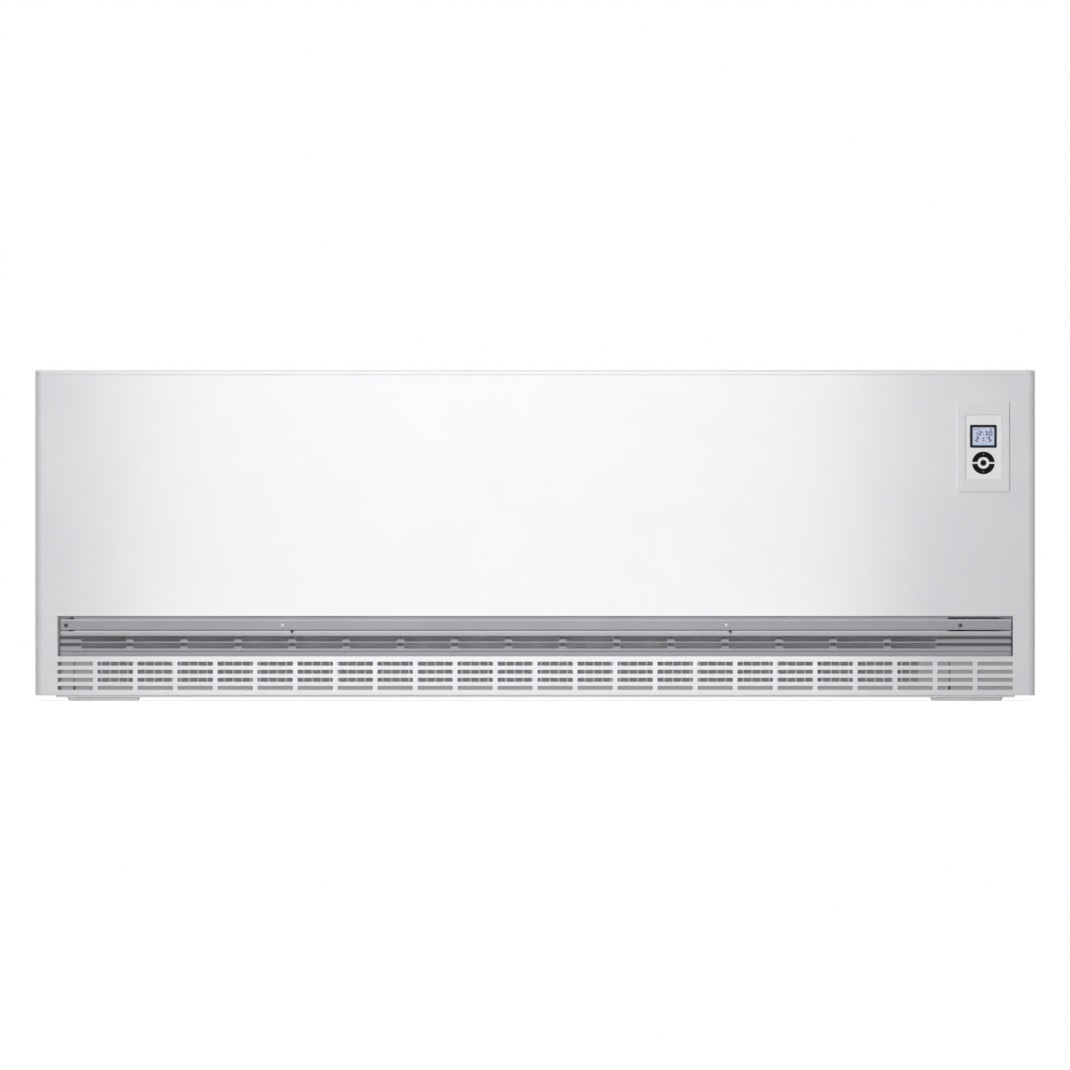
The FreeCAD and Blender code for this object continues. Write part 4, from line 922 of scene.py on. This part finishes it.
washerLine = [
    (washer["bore"], 0.0),
    (washer["radius"], 0.0),
    (washer["radius"], washer["thickness"]),
    (washer["bore"], washer["thickness"]),
]
turnedSet("wallSpacers", "wall_spacers", turnedPattern("washerPattern", washerLine, washer["round"]))
grommetTop = 2 * grommet["lip"] + grommet["sheet"]
grommetLine = [
    (grommet["bore"], 0.0),
    (grommet["flange"], 0.0),
    (grommet["flange"], grommet["lip"]),
    (grommet["neck"], grommet["lip"]),
    (grommet["neck"], grommetTop - grommet["lip"]),
    (grommet["flange"], grommetTop - grommet["lip"]),
    (grommet["flange"], grommetTop),
    (grommet["bore"], grommetTop),
]
turnedSet("cableGrommet", "cable_grommet", turnedPattern("grommetPattern", grommetLine, grommet["round"]))


filterGauze = {"pitch": 1.0 * mm, "wire": 0.45 * mm, "border": 6.0 * mm, "hold": 0.5 * mm}


def layGauze():
    low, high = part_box("lint_filter")
    rim = filterGauze["border"] - filterGauze["hold"]  # the frame's border, less what holds the gauze
    values = {
        "Centre": ((low.x + high.x) / 2, high.y + filterGauze["wire"], (low.z + high.z) / 2),
        "Width": high.x - low.x - 2 * rim,
        "Height": high.z - low.z - 2 * rim,
        "Pitch": filterGauze["pitch"],
        "Wire": filterGauze["wire"],
        "Finish": gauzeFinish,
    }
    piece = bakeTree("filterGauze", gauze, [(0, 0, 0)], values)
    settle(piece, "casing", "filter_mesh")
    print("gauze:", len(piece.data.polygons), "faces")


layGauze()


def roundedRing(width, height, corner, y, centre, steps=6):
    # one closed loop of points round a rounded rectangle, seen from the front
    points = []
    for sideX, sideZ, start in ((1, 1, 0), (-1, 1, 90), (-1, -1, 180), (1, -1, 270)):
        for i in range(steps + 1):
            turn = math.radians(start + 90 * i / steps)
            x = sideX * (width / 2 - corner) + corner * math.cos(turn)
            z = sideZ * (height / 2 - corner) + corner * math.sin(turn)
            points.append((centre.x + x, y, centre.z + z))
    return points


def bridgeRings(shape, rings, closed, capped):
    loops = [[shape.verts.new(point) for point in ring] for ring in rings]
    pairs = list(zip(loops, loops[1:])) + ([(loops[-1], loops[0])] if closed else [])
    for a, b in pairs:
        for i in range(len(a)):
            k = (i + 1) % len(a)
            shape.faces.new((a[i], a[k], b[k], b[i]))
    if capped:
        shape.faces.new(loops[0])
        shape.faces.new(loops[-1])


display = {
    "clearance": 0.2 * mm, "flange": 1.8 * mm, "border": 3.7 * mm, "corner": 2.5 * mm,
    "innerCorner": 1.2 * mm, "crown": 0.35 * mm, "recess": 1.3 * mm, "back": 2.0 * mm,
}


def displayFrame():
    # polished black surround with a sunk, pale blue display inside
    low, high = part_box("display_lens")
    centre = (low + high) / 2
    width = high.x - low.x - 2 * (display["flange"] + display["clearance"])
    height = high.z - low.z - 2 * (display["flange"] + display["clearance"])
    innerWidth, innerHeight = width - 2 * display["border"], height - 2 * display["border"]
    face, back, crown = low.y, low.y + display["back"], display["crown"]
    rings = [
        roundedRing(width, height, display["corner"], back, centre),
        roundedRing(width, height, display["corner"], face + crown, centre),
        roundedRing(width - 0.6 * crown, height - 0.6 * crown, display["corner"], face + 0.3 * crown, centre),
        roundedRing(width - 2 * crown, height - 2 * crown, display["corner"], face, centre),
        roundedRing(innerWidth, innerHeight, display["innerCorner"], face, centre),
        roundedRing(innerWidth - crown, innerHeight - crown, display["innerCorner"], back, centre),
    ]
    shape = bmesh.new()
    bridgeRings(shape, rings, True, False)
    surround = newPiece("displayFrame", meshFrom("displayFrame", shape), finishes["lens"])
    settle(surround, "casing", "lens", "display_lens")
    plate = bmesh.new()
    sunk = face + display["recess"]
    rings = [roundedRing(innerWidth, innerHeight, display["innerCorner"], y, centre) for y in (sunk, back)]
    bridgeRings(plate, rings, False, True)
    settle(newPiece("lcdFace", meshFrom("lcdFace", plate), finishes["lcd"]), "casing", "lcd")
    return centre, innerWidth, innerHeight, sunk


figureBars = {  # lit bars: a top, b and c right, d bottom, e and f left, g middle
    "0": "abcdef", "1": "bc", "2": "abged", "3": "abgcd", "4": "fgbc",
    "5": "afgcd", "6": "afgedc", "7": "abc", "8": "abcdefg", "9": "abcdfg",
}
readout = {
    "rows": [("12:30", 4.5, 6.8), ("21.5", -4.3, 8.0)],  # figures, the row's rise and its height in mm
    "slim": 0.60, "bar": 0.40, "gap": 0.34, "stub": 0.94, "tuck": 0.3,  # shares of the figure's height
    "fill": 0.86, "dot": 0.08, "dotStep": 0.45, "ink": 0.03 * mm,
}
symbols = {  # small marks round the figures
    "count": 5, "size": 1.1 * mm, "step": 1.7 * mm, "left": 3.0 * mm, "drop": 2.4 * mm,
    "tentRight": 5.0 * mm, "tentHalf": 2.2 * mm, "tentFoot": 1.2 * mm, "tentTop": 0.9 * mm,
    "arrowRise": 2.0 * mm, "arrowLeft": 1.6 * mm, "arrowHalf": 1.0 * mm, "arrowHeight": 1.6 * mm,
}


def addBar(shape, x, z, y, length, thick, upright):
    tip = thick / 2
    outline = [(-length / 2, 0), (-length / 2 + tip, tip), (length / 2 - tip, tip)]
    outline += [(length / 2, 0), (length / 2 - tip, -tip), (-length / 2 + tip, -tip)]
    if upright:
        outline = [(-b, a) for a, b in outline]
    addPrint(shape, [(x + a, z + b) for a, b in outline], y)


def addPrint(shape, outline, y):
    # a thin flat print on a face that looks to the front
    front = [shape.verts.new((x, y - readout["ink"], z)) for x, z in outline]
    back = [shape.verts.new((x, y, z)) for x, z in outline]
    shape.faces.new(front)
    shape.faces.new(back)
    for i in range(len(outline)):
        k = (i + 1) % len(outline)
        shape.faces.new((front[i], front[k], back[k], back[i]))


def addFigure(shape, figure, x, z, y, height):
    width, thick = height * readout["slim"], height * readout["bar"]
    across, half = width - thick * readout["tuck"], height / 2
    left, right, stub = x - width / 2, x + width / 2, half * readout["stub"]
    bars = {
        "a": (x, z + half, across, False), "g": (x, z, across, False), "d": (x, z - half, across, False),
        "f": (left, z + half / 2, stub, True), "b": (right, z + half / 2, stub, True),
        "e": (left, z - half / 2, stub, True), "c": (right, z - half / 2, stub, True),
    }
    for key in figureBars[figure]:
        barX, barZ, length, upright = bars[key]
        addBar(shape, barX, barZ, y, length, thick, upright)


def square(x, z, half):
    return [(x - half, z - half), (x + half, z - half), (x + half, z + half), (x - half, z + half)]


def triangle(x, foot, tip, half):
    return [(x - half, foot), (x + half, foot), (x, tip)]


def printRow(shape, text, x, z, y, tall):
    # one row of figures, centred on x
    wide = tall * (readout["slim"] + readout["gap"])
    advance = [wide * readout["dotStep"] if mark in ":." else wide for mark in text]
    x -= sum(advance) / 2
    for mark, step in zip(text, advance):
        middle, dot = x + step / 2, tall * readout["dot"]
        if mark == ":":
            addPrint(shape, square(middle, z + tall / 4, dot), y)
            addPrint(shape, square(middle, z - tall / 4, dot), y)
        elif mark == ".":
            addPrint(shape, square(middle, z - tall / 2, dot), y)
        else:
            addFigure(shape, mark, middle, z, y, tall * readout["fill"])
        x += step


def printSymbols(shape, centre, width, height, y):
    # a row of dots and a tent along the upper edge, an arrow under the figures
    top, half = centre.z + height / 2 - symbols["drop"], symbols["size"] / 2
    for i in range(symbols["count"]):
        left = centre.x - width / 2 + symbols["left"] + i * symbols["step"]
        addPrint(shape, square(left + half, top - half, half), y)
    tentX = centre.x + width / 2 - symbols["tentRight"]
    tent = triangle(tentX, top - symbols["tentFoot"], top + symbols["tentTop"], symbols["tentHalf"])
    addPrint(shape, tent, y)
    foot = centre.z - height / 2 + symbols["arrowRise"]
    arrowX = centre.x - symbols["arrowLeft"]
    addPrint(shape, triangle(arrowX, foot, foot + symbols["arrowHeight"], symbols["arrowHalf"]), y)


def printReadout(centre, width, height, y):
    shape = bmesh.new()
    for text, rise, tall in readout["rows"]:
        printRow(shape, text, centre.x, centre.z + rise * mm, y, tall * mm)
    printSymbols(shape, centre, width, height, y)
    settle(newPiece("lcdFigures", meshFrom("lcdFigures", shape), inkFinish), "casing", "lcd")


printReadout(*displayFrame())
keyMark = {"reach": 13.4 * mm, "half": 1.5 * mm, "height": 1.7 * mm}


def printArrow(node, name, side):
    # a small arrow printed on a half-ring key
    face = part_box(node)[0].y
    low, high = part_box("ok_key")
    x, z = (low.x + high.x) / 2, (low.z + high.z) / 2 + side * keyMark["reach"]
    foot, tip = z - side * keyMark["height"] / 2, z + side * keyMark["height"] / 2
    shape = bmesh.new()
    addPrint(shape, triangle(x, foot, tip, keyMark["half"]), face)
    settle(newPiece(name, meshFrom(name, shape), iconFinish), node, slotOf[node])


printArrow("up_key", "upArrow", 1)
printArrow("down_key", "downArrow", -1)
print("control unit printed")


studio = {
    "floorSize": 40.0, "floorTone": (0.45, 0.45, 0.457),
    "floorGlow": (0.74, 0.92), "glowReach": (1.0, 3.5),  # less glow near the object, so that its shadow shows
    "ambient": 0.145, "ambientTone": (0.97, 0.98, 1.0),
}
lamps = {
    # place, aim, width, height and power of each soft box
    "frontBox": ((-0.06, -2.2, 0.37), (-0.06, -0.12, 0.28), 1.2, 0.84, 18.2),
    "footBox": ((-0.06, -2.15, 0.06), (-0.06, -0.12, 0.06), 1.2, 0.11, 1.55),
    "topBox": ((-0.25, -1.45, 1.95), (-0.1, 0.0, 0.2), 1.2, 0.9, 13.5),
    "skyBox": ((-0.05, -0.2, 2.5), (-0.05, -0.1, 0.4), 1.6, 0.6, 4.0),
    "leftBox": ((-2.4, 0.6, 1.8), (-0.75, 0.0, 0.25), 1.3, 1.0, 16.0),
    "rightBox": ((2.4, 0.8, 1.8), (0.75, 0.0, 0.25), 1.3, 1.0, 16.0),
    "rearBox": ((0.1, 1.9, 2.3), (0.0, 0.12, 0.25), 2.6, 1.2, 22.0),
}
lens = {  # far back, as the photo shows no perspective; x and rise centre the object as in the photo
    "distance": 40.0, "viewWidth": 1.605, "sensor": 36.0, "x": -0.25 * mm, "rise": 0.65 * mm,
}


def isSeen(tree):
    # 1 for rays that see the backdrop: from the camera, in a reflection or through glass
    path = addNode(tree, "ShaderNodeLightPath")
    first, both = mathNode(tree, "MAXIMUM"), mathNode(tree, "MAXIMUM")
    wire(
        tree,
        (path.outputs["Is Camera Ray"], first.inputs[0]),
        (path.outputs["Is Glossy Ray"], first.inputs[1]),
        (first.outputs[0], both.inputs[0]),
        (path.outputs["Is Transmission Ray"], both.inputs[1]),
    )
    return both.outputs[0]


def layFloor():
    half = studio["floorSize"] / 2
    mesh = bpy.data.meshes.new("floor")
    corners = [(x, y, 0) for x, y in square(0, 0, half)]
    mesh.from_pydata(corners, [], [range(len(corners))])
    material = bpy.data.materials.new("paleFloor")
    material.use_nodes = True
    tree = material.node_tree
    shader = tree.nodes["Principled BSDF"]
    shader.inputs["Base Color"].default_value = (*studio["floorTone"], 1.0)
    shader.inputs["Roughness"].default_value = 0.9
    shader.inputs["Specular IOR Level"].default_value = 0.1
    where = addNode(tree, "ShaderNodeTexCoord")
    reach = addNode(tree, "ShaderNodeVectorMath", operation="LENGTH")
    fade = spreadNode(tree, *studio["glowReach"])
    fade.inputs["To Min"].default_value, fade.inputs["To Max"].default_value = studio["floorGlow"]
    glow = addNode(tree, "ShaderNodeEmission")
    strength = mathNode(tree, "MULTIPLY")
    both = addNode(tree, "ShaderNodeAddShader")
    wire(
        tree,
        (where.outputs["Object"], reach.inputs[0]),
        (reach.outputs["Value"], fade.inputs["Value"]),
        (isSeen(tree), strength.inputs[0]),
        (fade.outputs["Result"], strength.inputs[1]),
        (strength.outputs[0], glow.inputs["Strength"]),
        (shader.outputs["BSDF"], both.inputs[0]),
        (glow.outputs["Emission"], both.inputs[1]),
        (both.outputs[0], tree.nodes["Material Output"].inputs["Surface"]),
    )
    floor = newPiece("floor", mesh, material)
    floor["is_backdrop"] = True


def lightWorld():
    world = bpy.data.worlds.new("paleRoom")
    bpy.context.scene.world = world
    world.use_nodes = True
    tree = world.node_tree
    ambient = tree.nodes["Background"]
    ambient.inputs["Color"].default_value = (*studio["ambientTone"], 1.0)
    ambient.inputs["Strength"].default_value = studio["ambient"]
    backdrop = addNode(tree, "ShaderNodeBackground")
    backdrop.inputs["Color"].default_value = (1.0, 1.0, 1.0, 1.0)
    mix = addNode(tree, "ShaderNodeMixShader")
    wire(
        tree,
        (isSeen(tree), mix.inputs["Fac"]),
        (ambient.outputs[0], mix.inputs[1]),
        (backdrop.outputs[0], mix.inputs[2]),
        (mix.outputs[0], tree.nodes["World Output"].inputs["Surface"]),
    )


def hangLamps():
    for name, (place, aim, width, height, power) in lamps.items():
        data = bpy.data.lights.new(name, "AREA")
        data.shape, data.size, data.size_y, data.energy = "RECTANGLE", width, height, power
        lamp = bpy.data.objects.new(name, data)
        lamp.location = place
        lamp.rotation_euler = (Vector(aim) - Vector(place)).to_track_quat("-Z", "Y").to_euler()
        lamp.visible_camera = False
        bpy.context.scene.collection.objects.link(lamp)


def placeCamera():
    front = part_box("front_panel")[0].y
    low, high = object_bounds()
    data = bpy.data.cameras.new("photoCamera")
    data.sensor_width = lens["sensor"]
    data.lens = lens["sensor"] * lens["distance"] / lens["viewWidth"]
    data.clip_end = 2.5 * lens["distance"]
    camera = bpy.data.objects.new("photoCamera", data)
    camera.location = (lens["x"], front - lens["distance"], (low.z + high.z) / 2 + lens["rise"])
    camera.rotation_euler = (math.pi / 2, 0.0, 0.0)
    bpy.context.scene.collection.objects.link(camera)
    bpy.context.scene.camera = camera


layFloor()
lightWorld()
hangLamps()
placeCamera()
bpy.context.scene.view_settings.view_transform = "Standard"
print("studio lit")
